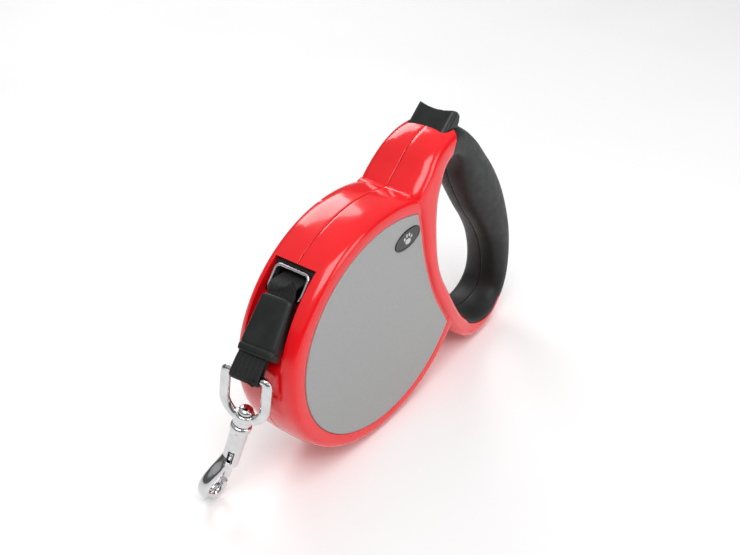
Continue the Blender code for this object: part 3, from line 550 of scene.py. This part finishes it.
def oval_outline(radius_cut, count=320, long_axis=CASE_LONG, short_axis=CASE_SHORT):
    return ellipse((0, 0), (long_axis - radius_cut, short_axis - radius_cut), CASE_TILT, count)


def mirrored(rows):
    """Steps for both sides of the middle plane, from the (y, inset) steps of one side."""
    return [(-y, cut) for y, cut in reversed(rows[1:])] + rows


def round_case(name):
    return stacked(name, oval_outline, mirrored(case_profile()))


def cavity_puck(name):
    """Room inside the round casing, a wall thickness in from its outside."""
    last_cut, room_before_last = 1.0, 0.4
    steps = [(y, cut) for y, cut in CASE_STEPS[1:] if y < CAVITY_HALF - room_before_last]
    steps.append((CAVITY_HALF, last_cut))
    return stacked(name, lambda cut: oval_outline(cut + WALL, 96), mirrored(steps))


def ring_sweep(name, thinner, per_span=9, around=88, least=1.2):
    """The hand ring and tower as one closed sweep, thinner on every side by the given distance."""
    sections = []
    for outer_x, outer_z, inner_x, inner_z, half, square in smooth_closed(RING, per_span):
        mid_x, mid_z = (outer_x + inner_x) / 2, (outer_z + inner_z) / 2
        reach_x, reach_z = (outer_x - inner_x) / 2, (outer_z - inner_z) / 2
        depth = math.hypot(reach_x, reach_z)
        scale = max(depth - thinner, least) / depth
        loop = []
        for c, s in circle(around, 0.5):
            c, y = squared(c, 2 / square) * scale, squared(s, 2 / square) * (half - thinner)
            loop.append(side(mid_x + reach_x * c, mid_z + reach_z * c, y))
        sections.append(loop)
    return from_grid(name, sections, closed_rows=True)


def ring_middle():
    """Side-view line along the middle of the hand ring and tower."""
    return [((r[0] + r[2]) / 2, (r[1] + r[3]) / 2) for r in smooth_closed(RING, 9)]


def grip_outline(inset=0.0):
    """Side-view area that the soft grip covers, taken in at the seams with the red casing."""
    points = []
    for stretch in (GRIP_TOP, GRIP_FOOT):
        curve = smooth_open(stretch, 8)
        run = np.gradient(curve, axis=0)
        run /= np.linalg.norm(run, axis=1)[:, None]
        points += [(x - run_z * inset, z + run_x * inset)
                   for (x, z), (run_x, run_z) in zip(curve, run)]
    return points + [(GRIP_FOOT[-1][0], GRIP_TOP[0][1])]


def button_point(a, b):
    """Side-view point a millimetres behind the button's front face and b above its tip."""
    return (BUTTON_TIP[0] + BUTTON_ACROSS[0] * a + BUTTON_UP[0] * b,
            BUTTON_TIP[1] + BUTTON_ACROSS[1] * a + BUTTON_UP[1] * b)


def button_plan(name, grow, low, high, corner=2.4):
    """Upright block of the button's rounded plan, grown on every side, along its push direction."""
    half = BUTTON_WIDE / 2 + grow
    plan = rounded_rectangle(-grow, BUTTON_DEEP + grow, -half, half, corner + grow, 8)
    return from_grid(name, [[side(*button_point(a, b), y) for a, y in plan] for b in (low, high)])


def open_parting_edge(item, sign, edge=0.35, depth=0.1):
    """Breaks the sharp edge where this half meets the other one, as a fine V along the seam."""
    build = bmesh.new()
    build.from_mesh(item.data)
    bmesh.ops.triangulate(build, faces=build.faces[:])
    bmesh.ops.bisect_plane(build, geom=build.verts[:] + build.edges[:] + build.faces[:],
                           plane_co=(0, sign * edge * MM, 0), plane_no=(0, 1, 0), dist=1e-7)
    moves = []
    for vert in build.verts:
        if abs(vert.co.y) > (SEAM_HALF + 0.01) * MM:
            continue
        walls = [face.normal * face.calc_area() for face in vert.link_faces
                 if abs(face.normal.y) < 0.9]
        if walls:
            away = sum(walls, Vector())
            away.y = 0.0
            if away.length > 0:
                moves.append((vert, away.normalized() * depth * MM))
    for vert, move in moves:
        vert.co -= move
    build.to_mesh(item.data)
    build.free()


def hollow_out(case):
    """Room for the reel in the round casing, and along the inside of the hand ring."""
    space = cavity_puck("space")
    boolean(space, prism("trim", ring_middle(), -20, 20), "DIFFERENCE")
    behind_flat = slab("flat_wall", (FLAT_AT - WALL, 80), (-40, 40), FLAT_HALF + WALL)
    boolean(space, behind_flat, "DIFFERENCE")
    boolean(space, ring_sweep("hollow", GRIP_THICK + 2.0, 3, 24), "UNION")
    boolean(case, space, "DIFFERENCE")


def cut_openings(case, grip):
    """The outlet's flat and mouth, the button's slot and the panels' pockets."""
    top, bottom = MOUTH
    boolean(case, slab("flat", (FLAT_AT, 80), (top - 3.6, 60), FLAT_HALF), "DIFFERENCE")
    boolean(case, slab("mouth", (FLAT_AT - 9, FLAT_AT + 2), (top - 1.4, bottom + 1.4),
                       MOUTH_HALF + 1.3), "DIFFERENCE")
    for body in (case, grip):
        boolean(body, button_plan("slot", 0.4, -24, 6), "DIFFERENCE")
    low = PANEL_FACE - PANEL_THICK - GAP
    for sign in (-1, 1):
        boolean(case, panel_blank("pocket", sign, ((low, -0.25), (20.0, -0.25))), "DIFFERENCE")


def add_supports(case):
    """Sockets of the reel's axle, bosses of the case screws and guides of the brake pawl."""
    for low, high in ((-12.9, -10.4), (10.4, 12.9)):
        boolean(case, disc("socket", REEL_X, REEL_Z, 5.0, low, high), "UNION")
    boolean(case, disc("bore", REEL_X, REEL_Z, AXLE_R + GAP, -12.2, 12.2), "DIFFERENCE")
    for x, z, half in SCREWS:
        boolean(case, disc("boss", x, z, 3.2, -half, half), "UNION")
    across = (PAWL_UP[1], -PAWL_UP[0])
    inner, outer = 46.5, 54.5
    for low, high in ((-5.6, -3.5), (3.5, 5.6)):
        corners = ((low, inner), (high, inner), (high, outer), (low, outer))
        outline = [(REEL_X + PAWL_UP[0] * rise + across[0] * a,
                    REEL_Z + PAWL_UP[1] * rise + across[1] * a) for a, rise in corners]
        boolean(case, prism("guide", outline, -13.0, PAWL_Y + 1.3), "UNION")


def bore_screws(shell, hand):
    """Blind threaded holes in the left half, and through holes with wells in the right half."""
    for x, z, _ in SCREWS:
        if hand == "left":
            boolean(shell, disc("thread", x, z, 1.6, -9.5, 1.0, 24), "DIFFERENCE")
        else:
            boolean(shell, disc("clear", x, z, 1.6, -1.0, 30.0, 24), "DIFFERENCE")
            boolean(shell, disc("well", x, z, 2.8, 8.6, 30.0, 40), "DIFFERENCE")


def make_casing():
    case = round_case("case")
    boolean(case, prism("trim", ring_middle(), -20, 20), "DIFFERENCE")
    skin = ring_sweep("skin", 0.0)
    grip = copy_of(skin, "grip")
    boolean(grip, prism("grip_zone", grip_outline(GRIP_SEAM), -30, 30), "INTERSECT")
    boolean(skin, prism("grip_zone", grip_outline(), -30, 30), "DIFFERENCE")
    boolean(grip, ring_sweep("inside", GRIP_THICK - GAP / 2, 3, 32), "DIFFERENCE")
    boolean(case, skin, "UNION")
    boolean(case, ring_sweep("core", GRIP_THICK + GAP / 2, 3, 32), "UNION")

    hollow_out(case)
    cut_openings(case, grip)
    add_supports(case)
    for name, whole, look, slot_name in (("shell", case, "red", "casing_red"),
                                         ("grip", grip, "grip", "grip_black")):
        for hand, sign in (("left", -1), ("right", 1)):
            part = copy_of(whole, f"{hand}_{name}_moulded")
            boolean(part, half_space("half", *sorted((sign * SEAM_HALF, sign * 40))), "INTERSECT")
            if name == "shell":
                bore_screws(part, hand)
            open_parting_edge(part, sign)
            shade(part, LOOKS[look], "casing", [f"{hand}_{name}"])
        bpy.data.objects.remove(whole, do_unlink=True)


# ---- Side panels and badges ----

def ring_edge(gap):
    """Side-view line that runs this far outside the hand ring's outer side."""
    edge = []
    for outer_x, outer_z, inner_x, inner_z in smooth_closed([r[:4] for r in RING], 9):
        reach = gap / math.hypot(outer_x - inner_x, outer_z - inner_z)
        edge.append((outer_x + (outer_x - inner_x) * reach, outer_z + (outer_z - inner_z) * reach))
    return edge


def panel_blank(name, sign, steps):
    """The side panel's outline: an oval cut off by the hand ring. Steps are (y, inset)."""
    blank = stacked(name, lambda inset: oval_outline(inset, 320, PANEL_LONG, PANEL_SHORT), steps, sign)
    wider = [(steps[0][0] - 2, steps[0][1])] + list(steps) + [(steps[-1][0] + 2, steps[-1][1])]
    cutter = stacked("ring_edge", lambda inset: ring_edge(0.35 + inset), wider, sign)
    return boolean(blank, cutter, "DIFFERENCE")


def badge_outline(inset):
    return ellipse(BADGE, (BADGE_LONG - inset, BADGE_SHORT - inset), BADGE_TILT, 96)


def paw_pads():
    """A plain paw: (place, size) of its main pad and four toes, about the badge's middle."""
    pads = [((0.0, -1.0), (1.9, 1.35))]
    for x, z in ((-2.35, 0.55), (-0.85, 1.75), (0.85, 1.75), (2.35, 0.55)):
        pads.append(((x, z), (0.6, 0.85)))
    return pads


def above_face(*steps):
    """(y, inset) steps from steps that are given against the panel's face."""
    return [(PANEL_FACE + rise, inset) for rise, inset in steps]


def paw_mark(name, sign):
    """The raised paw on a badge."""
    steps = above_face((0.1, 0.0), (0.24, 0.0), (0.31, 0.1), (0.33, 0.25))
    mark = None
    for (x, z), (wide, high) in paw_pads():
        place = (BADGE[0] + x, BADGE[1] + z)
        pad = stacked(name, lambda inset: ellipse(place, (wide - inset, high - inset), 0, 40), steps,
                      sign)
        mark = boolean(mark, pad, "UNION") if mark else pad
    return mark


def make_panels():
    panel_steps = above_face((-PANEL_THICK, 0.0), (-0.42, 0.0), (-0.2, 0.07), (-0.06, 0.22),
                             (0.0, 0.45))
    seat_steps = above_face((-0.7, -0.2), (2.0, -0.2))
    badge_steps = above_face((-0.6, 0.0), (0.1, 0.0), (0.26, 0.07), (0.34, 0.25), (0.34, 0.6),
                             (0.18, 0.8))
    for hand, sign in (("left", -1), ("right", 1)):
        panel = panel_blank(f"{hand}_panel_moulded", sign, panel_steps)
        boolean(panel, stacked("seat", badge_outline, seat_steps, sign), "DIFFERENCE")
        shade(panel, LOOKS["grey"], "casing", [f"{hand}_panel"])

        badge = stacked(f"{hand}_badge_moulded", badge_outline, badge_steps, sign)
        shade(badge, LOOKS["badge"], "casing", [f"{hand}_badge"])
        shade(paw_mark(f"{hand}_badge_mark", sign), LOOKS["mark"], "casing")


# ---- Thumb button and its spring ----

def thumb_dip(name):
    """Block above the button's top, round underneath, where the thumb lies across it."""
    drop, overhang, above = 1.9, 0.5, 6.0
    radius = (BUTTON_WIDE ** 2 / 4 + drop ** 2) / (2 * drop)
    ys = np.linspace(-BUTTON_WIDE / 2 - overhang, BUTTON_WIDE / 2 + overhang, 49)
    depths = np.sqrt(radius ** 2 - ys ** 2) - (radius - drop)
    loops = []
    for a in (-4.0, 12.0):
        loop = [side(*button_point(a, -depth), y) for y, depth in zip(ys, depths)]
        loop += [side(*button_point(a, above), y) for y in (ys[-1], ys[0])]
        loops.append(loop)
    return from_grid(name, loops)


def make_button():
    rear = smooth_open(((BUTTON_DEEP, -9), (8.0, -5.8), (6.6, -3.0), (4.4, -0.3)), 4)
    outline = [(0, 0), (0, -BUTTON_TALL), (BUTTON_DEEP, -BUTTON_TALL)] + [tuple(p) for p in rear]
    button = prism("brake_button_moulded", [button_point(*p) for p in outline],
                   -BUTTON_WIDE / 2, BUTTON_WIDE / 2)
    boolean(button, thumb_dip("dip"), "DIFFERENCE")
    boolean(button, button_plan("plan", 0.0, -25, 8), "INTERSECT")
    leg = prism("leg", [button_point(*p) for p in ((1, -18), (1, -31.5), (5, -31.5), (5, -18))],
                PAWL_Y - 1.8, PAWL_Y + 1.8)
    boolean(button, leg, "UNION", "EXACT")
    remesh(button, 0.28, 6)
    shade(button, LOOKS["button"], "button", ["brake_button"])

    up = side_direction(*BUTTON_UP)
    seat = side(*button_point(3.2, -BUTTON_TALL - GAP), 3.5)
    free, travel = 4.8, travel_of("button_press")
    spring = coil_spring("button_spring_wire", seat, -up, free, 2.2, 0.7, 3)
    shade(spring, LOOKS["spring"], "button", ["button_spring"], 60)
    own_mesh(spring)


def travel_of(joint):
    """Largest slide of a joint, in millimetres."""
    return JOINTS[joint]["range_m"][1] / MM


def coil_spring(name, start, direction, length, radius, wire, turns, steps=36, sides=12):
    axis = direction.normalized()
    one = axis.orthogonal().normalized()
    two = axis.cross(one)
    loops = []
    total = turns * steps
    for i in range(total + 1):
        angle = 2 * math.pi * i / steps
        out = one * math.cos(angle) + two * math.sin(angle)
        middle = start + (out * radius + axis * (wire / 2 + (length - wire) * i / total)) * MM
        loops.append([middle + (out * c + axis * s) * wire / 2 * MM for c, s in circle(sides)])
    return from_grid(name, loops)


# ---- Outlet ----

def make_outlet():
    top, bottom = MOUTH
    plate = slab("outlet_mouthpiece_moulded", (FLAT_AT + 0.2, FLAT_AT + 1.5),
                 (top - 3.3, bottom + 1.8), MOUTH_HALF + 2.6)
    neck = slab("neck", (FLAT_AT - 1.0, FLAT_AT + 1.0), (top - 1.1, bottom + 1.1), MOUTH_HALF + 1.0)
    boolean(plate, neck, "UNION", "EXACT")
    boolean(plate, slab("hole", (FLAT_AT - 9, FLAT_AT + 9), MOUTH, MOUTH_HALF), "DIFFERENCE", "EXACT")
    round_edges(plate, 0.3, 3)
    shade(plate, LOOKS["outlet"], "casing", ["outlet_mouthpiece"])


def make_guide():
    out, down, sideways = side_direction(*OUT), side_direction(*DOWN), Vector((0, 1, 0))
    wire, half = 0.75, MOUTH_HALF + 0.9
    lift = FLAT_AT + 1.8 + wire
    path = rounded_rectangle(-half, half, MOUTH[0] - 1.0, MOUTH[1] + 0.8, 2.2, 12)
    loops = []
    for i, (y, fall) in enumerate(path):
        before, after = path[i - 1], path[(i + 1) % len(path)]
        run = (sideways * (after[0] - before[0]) + down * (after[1] - before[1])).normalized()
        away = run.cross(out)
        middle = side(0, 0, TAPE_Y) + (out * lift + sideways * y + down * fall) * MM
        loops.append([middle + (away * c + out * s) * wire * MM for c, s in circle(20)])
    guide = from_grid("outlet_guide_wire", loops, closed_rows=True)
    shade(guide, LOOKS["guide"], "casing", ["outlet_guide"], 60)


# ---- Webbing and stop block ----

def webbing(name, centres, wides, thicks, half=TAPE_WIDE / 2, around=40, square=6.0):
    """Flat tape with rounded selvedges along world points, with a UV map across and along it."""
    count = len(centres)
    points, uvs = [], []
    length = 0.0
    for i in range(count):
        before, after = centres[max(i - 1, 0)], centres[min(i + 1, count - 1)]
        run = (after - before).normalized()
        wide = (wides[i] - run * wides[i].dot(run)).normalized()
        normal = run.cross(wide)
        if i:
            length += (centres[i] - centres[i - 1]).length / MM
        for c, s in circle(around, 0.5):
            across, up = squared(c, 2 / square) * half, squared(s, 0.5) * thicks[i] / 2
            points.append(centres[i] + (wide * across + normal * up) * MM)
            uvs.append((across, length))
    build = bmesh.new()
    layer = build.loops.layers.uv.new("along")
    verts = [build.verts.new(p) for p in points]
    index = {vert: uv for vert, uv in zip(verts, uvs)}
    for i in range(count - 1):
        for k in range(around):
            j = (k + 1) % around
            build.faces.new((verts[i * around + k], verts[i * around + j],
                             verts[(i + 1) * around + j], verts[(i + 1) * around + k]))
    build.faces.new(verts[:around][::-1])
    build.faces.new(verts[-around:])
    for face in build.faces:
        for loop in face.loops:
            loop[layer].uv = index[loop.vert]
    return from_bmesh(name, build)


def block_point(run):
    """Side-view point this far down the stop block's back, from its top."""
    return BLOCK_TOP[0] + BLOCK_RUN[0] * run, BLOCK_TOP[1] + BLOCK_RUN[1] * run


def across_at(yaw):
    """Side-view direction across the tape where it has turned this far about the vertical."""
    return Vector((math.sin(math.radians(yaw)), math.cos(math.radians(yaw)), 0))


def tail_path():
    """(x, z, y, yaw) rows of the tape from its bend to the foot of the stop block."""
    top = REEL_Z + COIL_R + GAP + TAPE_THICK / 2
    entry, middle, end = block_point(-1.2), block_point(BLOCK_LONG / 2), block_point(BLOCK_LONG)
    return [(BEND[0], top, TAPE_Y, 0), (BEND[0] - 2.2, top - 0.6, TAPE_Y, -2),
            (entry[0] - 0.5, entry[1] + 0.3, BLOCK_Y + 0.6, -4), (*middle, BLOCK_Y, -6),
            (*end, BLOCK_Y, BLOCK_FOOT_YAW)]


def along_rows(name, rows, thicks, **settings):
    """Webbing along (x, z, y, yaw) rows."""
    centres = [side(x, z, y) for x, z, y, _ in rows]
    wides = [world_direction(across_at(row[3])) for row in rows]
    return webbing(name, centres, wides, thicks, **settings)


def make_tape():
    top = REEL_Z + COIL_R + GAP + TAPE_THICK / 2
    xs = np.linspace(REEL_X, BEND[0], 30)
    across = Vector((0, 1, 0))
    run = webbing("tape_run_woven", [side(x, top, TAPE_Y) for x in xs], [across] * len(xs),
                  [TAPE_THICK] * len(xs))
    shade(run, LOOKS["webbing"], "tape_end", ["tape_run"], 70)

    # The upper end is rounded about the bend, so that it can turn
    shares = (0.02, 0.2, 0.4, 0.7)
    start = [(BEND[0] + (1 - t) * TAPE_THICK / 2, top, TAPE_Y, 0) for t in shares]
    rounded = [TAPE_THICK * math.sqrt(1 - (1 - t) ** 2) for t in shares]
    rest = [tuple(row) for row in smooth_open(tail_path(), 9)]
    tail = along_rows("tape_tail_woven", start + rest, rounded + [TAPE_THICK] * len(rest))
    shade(tail, LOOKS["webbing"], "tape_tail", ["tape_tail"], 70)
    shade(bar_loop(), LOOKS["webbing"], "tape_tail", (), 70)
    shade(stop_block(), LOOKS["block"], "tape_tail", ["stop_block"], 30)


def ring_axes():
    return frame_between(BAR, SWIVEL, across_at(HANG_YAW))


def bar_axes():
    """Across, forward and up directions of the tape where it holds the D-ring's bar."""
    _, wide, _ = ring_axes()
    forward = wide.cross(Vector((0, 0, 1))).normalized()
    return wide, forward, forward.cross(wide)


def bar_loop():
    """The tape's end: down out of the block, round the bar and back up into the block."""
    wide, forward, rise = bar_axes()
    centre = Vector(BAR)
    layer = TAPE_THICK - 0.1
    radius = BAR_WIRE + GAP + layer / 2
    end = block_point(BLOCK_LONG - 3.0)
    mouth = Vector((end[0], BLOCK_Y, end[1]))
    block_wide = across_at(BLOCK_FOOT_YAW)
    apart = Vector((BLOCK_OUT[0], 0, BLOCK_OUT[1])) * (layer / 2 + 0.02)
    if forward.dot(apart) < 0:
        forward = -forward
    halfway = mouth * 0.5 + centre * 0.5 + rise * 2.3
    bulge, half_turned = forward * 1.3, (block_wide + wide) / 2
    rows = [(mouth + apart, block_wide), (halfway + bulge, half_turned)]
    for angle in range(20, -201, -20):
        a = math.radians(angle)
        rows.append((centre + (forward * math.cos(a) + rise * math.sin(a)) * radius, wide))
    rows += [(halfway - bulge, half_turned), (mouth - apart, block_wide)]
    numbers = smooth_open([(*p, *w) for p, w in rows], 5)
    centres = [world(Vector(row[:3])) for row in numbers]
    wides = [world_direction(Vector(row[3:])) for row in numbers]
    return webbing("tape_end_loop", centres, wides, [layer] * len(centres))


def stop_block():
    down = Vector((BLOCK_RUN[0], 0, BLOCK_RUN[1]))
    out = Vector((BLOCK_OUT[0], 0, BLOCK_OUT[1]))
    turn = Matrix.Rotation(math.radians(-HANG_YAW / 2), 3, "Z")
    down, out, wide = turn @ down, turn @ out, turn @ Vector((0, 1, 0))
    middle = block_point(BLOCK_LONG / 2)
    centre = Vector((middle[0], BLOCK_Y, middle[1]))
    # Stations down the block: (place, width, thickness), each against the full size
    stations = ((-1.0, 0.60, 0.62), (-0.99, 0.68, 0.72), (-0.96, 0.76, 0.84), (-0.9, 0.82, 0.92),
                (-0.8, 0.845, 0.95), (-0.3, 0.89, 0.97), (0.3, 0.94, 0.98), (0.62, 0.965, 0.98),
                (0.70, 0.955, 0.95), (0.735, 0.95, 0.93), (0.76, 0.975, 0.97), (0.80, 1.0, 1.02),
                (0.88, 1.0, 1.02), (0.95, 0.985, 0.99), (0.985, 0.94, 0.92), (1.0, 0.87, 0.82))
    around, squareness = 88, 0.36
    loops = []
    for t, size, deep in smooth_open(stations, 4):
        loop = []
        for c, s in circle(around, 0.5):
            a = squared(c, squareness) * BLOCK_WIDE / 2 * size
            b = squared(s, squareness) * BLOCK_THICK / 2 * deep
            loop.append(world(centre + down * (BLOCK_LONG / 2 * t) + wide * a + out * b))
        loops.append(loop)
    block = from_grid("stop_block_moulded", loops)
    rows = smooth_open(tail_path()[1:], 6)
    beyond = tail_path()[-1]
    last = (beyond[0] + BLOCK_RUN[0] * 4, beyond[1] + BLOCK_RUN[1] * 4, beyond[2], beyond[3])
    rows = [tuple(r) for r in rows] + [last]
    cutter = along_rows("slot", rows, [TAPE_THICK * 2 + 0.5] * len(rows), half=TAPE_WIDE / 2 + GAP,
                        around=32)
    return boolean(block, cutter, "DIFFERENCE")


# ---- D-ring, swivel rivet and snap ----

def frame_between(start, end, hint):
    """Axes for a piece that runs from start to end: its run, and two across it."""
    run = (Vector(end) - Vector(start)).normalized()
    first = (hint - run * hint.dot(run)).normalized()
    return run, first, run.cross(first)


def local_points(origin, axes, points):
    """World points of (across, across, along) rows in a piece's own axes."""
    run, first, second = axes
    return [world(Vector(origin) + first * a + second * b + run * c) for a, b, c in points]


def turned(name, origin, axes, profile, count=48):
    """Solid of revolution from (radius, along) steps."""
    loops = [local_points(origin, axes, [(radius * c, radius * s, along) for c, s in circle(count)])
             for radius, along in profile]
    return from_grid(name, loops)


def bent_bar(name, origin, axes, path, closed, sides=28):
    """Bar along a flat path of (across, along, half thickness in the plane, half width)."""
    rows = smooth_closed(path, 4) if closed else smooth_open(path, 8)
    middle = np.mean(rows, axis=0)[:2]
    loops = []
    count = len(rows)
    for i, (a, c, flat, radius) in enumerate(rows):
        before = rows[i - 1] if closed else rows[max(i - 1, 0)]
        after = rows[(i + 1) % count] if closed else rows[min(i + 1, count - 1)]
        tangent = (after - before)[:2]
        tangent = tangent / np.linalg.norm(tangent)
        normal = np.array((-tangent[1], tangent[0]))
        if closed and np.dot(normal, np.array((a, c)) - middle) < 0:
            normal = -normal
        ring = [(a + normal[0] * cosine * flat, sine * radius, c + normal[1] * cosine * flat)
                for cosine, sine in circle(sides)]
        loops.append(local_points(origin, axes, ring))
    return from_grid(name, loops, closed_rows=closed)


def make_ring(snap_axes):
    length = (Vector(SWIVEL) - Vector(BAR)).length
    corner = RING_HALF - 0.6
    path = [(a, 0.0, BAR_WIRE, BAR_WIRE) for a in np.linspace(-corner + 1.0, corner - 1.0, 5)]
    path += [(corner, 0.5, 1.8, BAR_WIRE), (RING_HALF, 2.4, RING_FLAT, BAR_WIRE)]
    for i in range(11):
        angle = math.radians(6 + 168 * i / 10)
        path.append((RING_HALF * math.cos(angle), length - RING_HALF + RING_HALF * math.sin(angle),
                     RING_FLAT, BAR_WIRE))
    path += [(-RING_HALF, 2.4, RING_FLAT, BAR_WIRE), (-corner, 0.5, 1.8, BAR_WIRE)]
    ring = bent_bar("d_ring_cast", BAR, ring_axes(), path, True)
    pad = ((3.2, -3.6), (3.8, -3.3), (4.0, -2.8), (4.0, 1.3), (3.8, 1.9), (3.4, 2.1))
    boolean(ring, turned("pad", SWIVEL, snap_axes, pad), "UNION")
    boolean(ring, turned("hole", SWIVEL, snap_axes, ((RIVET_R + GAP, -9.0), (RIVET_R + GAP, 9.0))),
            "DIFFERENCE")
    remesh(ring, 0.2, 4)
    shade(ring, LOOKS["chrome"], "ring", ["d_ring"], 60)


def make_rivet(axes):
    head, dome = 3.1, 1.75
    profile = [(head * math.sin(math.radians(a)), -4.6 - dome * math.cos(math.radians(a)))
               for a in (12, 25, 40, 55, 70, 82)]
    profile += [(head, -4.2), (head - 0.15, -3.95), (RIVET_R, -3.9), (RIVET_R, 3.4)]
    rivet = turned("swivel_rivet_turned", SWIVEL, axes, profile)
    shade(rivet, LOOKS["chrome"], "snap", ["swivel_rivet"], 45)


def make_snap_body(axes, stud_axes):
    collar = ((3.3, 2.6), (3.9, 2.9), (4.3, 3.4), (4.4, 4.0), (4.4, 5.0), (4.25, 5.6), (3.95, 6.2),
              (3.8, 7.2), (3.7, BARREL_END - 1.0), (3.6, BARREL_END - 0.4), (3.3, BARREL_END))
    body = turned("snap_body_cast", SWIVEL, axes, collar)
    boolean(body, bent_bar("hook", SWIVEL, axes, HOOK, False), "UNION")
    bore = ((2.35, BORE_FOOT), (2.35, BARREL_END + 3.0))
    boolean(body, turned("bore", SWIVEL, axes, bore), "DIFFERENCE")
    boolean(body, turned("rivet_hole", SWIVEL, axes, ((RIVET_R + GAP, 2.0), (RIVET_R + GAP, 3.8))),
            "DIFFERENCE")
    slot = stud_bar("slot", stud_axes, 1.3, 1.0, 6.0, STUD_AT[0] - 4.6, STUD_AT[1] + GAP)
    boolean(body, slot, "DIFFERENCE")
    remesh(body, 0.2, 3)
    shade(body, LOOKS["chrome"], "snap", ["snap_body"], 60)


def make_bolt(axes, stud_axes):
    profile = ((1.8, STUD_AT[0] - 2.0), (2.0, STUD_AT[0] - 1.8), (2.0, BOLT_END - 0.9),
               (1.85, BOLT_END - 0.4), (1.4, BOLT_END))
    bolt = turned("snap_bolt_turned", SWIVEL, axes, profile, 40)
    boolean(bolt, stud_bar("stud", stud_axes, 1.0, 1.2, 5.4, *STUD_AT), "UNION")
    remesh(bolt, 0.15, 3)
    shade(bolt, LOOKS["chrome"], "bolt", ["snap_bolt"], 60)


def make_snap_spring(axes):
    start, run = world(Vector(SWIVEL) + axes[0] * SPRING_FOOT), world_direction(axes[0])
    free, travel = SPRING_HEAD - SPRING_FOOT, travel_of("bolt_slide")
    spring = coil_spring("snap_spring_wire", start, run, free, 1.5, 0.5, 5)
    shade(spring, LOOKS["spring"], "snap", ["snap_spring"], 60)
    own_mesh(spring)


def stud_bar(name, axes, half, inner, outer, low, high):
    """Block beside the snap's run: its half width, its reach across and its place along."""
    corners = ((inner, -half), (outer, -half), (outer, half), (inner, half))
    points = [local_points(SWIVEL, axes, [(a, b, c) for a, b in corners]) for c in (low, high)]
    return from_grid(name, points)


def make_hardware():
    axes = frame_between(SWIVEL, SNAP_TIP, Vector(HOOK_TOWARD))
    stud_axes = frame_between(SWIVEL, SNAP_TIP, Vector(STUD_TOWARD))
    make_ring(axes)
    make_rivet(axes)
    make_snap_body(axes, stud_axes)
    make_bolt(axes, stud_axes)
    make_snap_spring(axes)


# ---- Inner pieces keep their solids ----

def finish_inner():
    looks = {"reel": "white", "brake_pawl": "white", "spring_cover": "dark", "mainspring": "spring",
             "reel_axle": "screw", "tape_coil": "webbing"}
    looks.update({f"case_screw_{i}": "screw" for i in range(1, len(SCREWS) + 1)})
    for name, look in looks.items():
        mesh = frame["nodes"][name].data
        mesh.materials.clear()
        mesh.materials.append(LOOKS[look])


# ---- Floor, light and camera ----

def make_stage():
    floor_mesh = bpy.data.meshes.new("floor")
    reach = 3.0
    corners = [(-reach, -reach, 0), (reach, -reach, 0), (reach, reach, 0), (-reach, reach, 0)]
    floor_mesh.from_pydata(corners, [], [(0, 1, 2, 3)])
    floor = new_object("floor", floor_mesh)
    look = material("white_sweep", (0.93, 0.93, 0.93), 0.35, specular=0.35)
    shader = look.node_tree.nodes["Principled BSDF"]
    shader.inputs["Emission Color"].default_value = (1, 1, 1, 1)
    shader.inputs["Emission Strength"].default_value = 0.05
    vary_roughness(look, object_noise(look.node_tree, 8), 0.3, 0.42)
    floor_mesh.materials.append(look)


def area_light(name, place, aim, size, power, height=None):
    light = bpy.data.lights.new(name, "AREA")
    light.shape = "RECTANGLE"
    light.size = size
    light.size_y = height or size
    light.energy = power
    item = bpy.data.objects.new(name, light)
    item.location = place
    item.rotation_euler = (Vector(aim) - Vector(place)).to_track_quat("-Z", "Y").to_euler()
    bpy.context.scene.collection.objects.link(item)


def make_light():
    """A grey studio that is darkest just above the horizon, and three soft lights."""
    studio = bpy.data.worlds.new("studio")
    studio.use_nodes = True
    tree = studio.node_tree
    parts = node(tree, "SeparateXYZ")
    tree.links.new(node(tree, "TexCoord").outputs["Generated"], parts.inputs["Vector"])
    ramp = node(tree, "ValToRGB")
    stops = ramp.color_ramp.elements
    stops[0].position, stops[0].color = 0.0, (0.3, 0.3, 0.305, 1)
    stops[1].position, stops[1].color = 1.0, (0.75, 0.75, 0.75, 1)
    for place, level in ((0.08, 0.16), (0.34, 0.14), (0.4, 0.5), (0.75, 0.7)):
        stop = stops.new(place)
        stop.color = (level, level, level * 1.005, 1)
    tree.links.new(parts.outputs["Z"], ramp.inputs["Fac"])
    back = tree.nodes["Background"]
    tree.links.new(ramp.outputs["Color"], back.inputs["Color"])
    back.inputs["Strength"].default_value = 0.8
    bpy.context.scene.world = studio
    area_light("key", (-0.35, -0.3, 1.0), (0, 0, 0.05), 0.6, 5.6)
    area_light("front", (0.25, -0.9, 0.5), (0, 0, 0.06), 0.35, 2.6, 0.7)
    area_light("back", (0.45, 0.75, 0.7), (0, 0, 0.06), 0.5, 3.5)


def make_camera():
    """Camera above the outlet's corner of the left side, in the casing's own leaning frame."""
    turn, rise = math.radians(CAMERA_TURN), math.radians(CAMERA_RISE)
    back = Vector((-math.sin(turn) * math.cos(rise), -math.cos(turn) * math.cos(rise),
                   math.sin(rise)))
    right = Vector((math.cos(turn), -math.sin(turn), 0))
    up = back.cross(right)
    spot = back * CAMERA_AWAY + right * CAMERA_RIGHT + up * CAMERA_UP
    axes = [world_direction(way) for way in (right, up, back)]
    data = bpy.data.cameras.new("camera")
    data.lens = CAMERA_LENS
    data.sensor_width = 36.0
    data.clip_start = 0.01
    camera = new_object("camera", data)
    turned_to = Matrix(axes).transposed().to_4x4()
    camera.matrix_world = Matrix.Translation(world(spot)) @ turned_to
    bpy.context.scene.camera = camera
    bpy.context.scene.view_settings.view_transform = "Standard"


make_camera()
make_light()
make_stage()
make_casing()
make_panels()
make_button()
make_outlet()
make_guide()
make_tape()
make_hardware()
finish_inner()
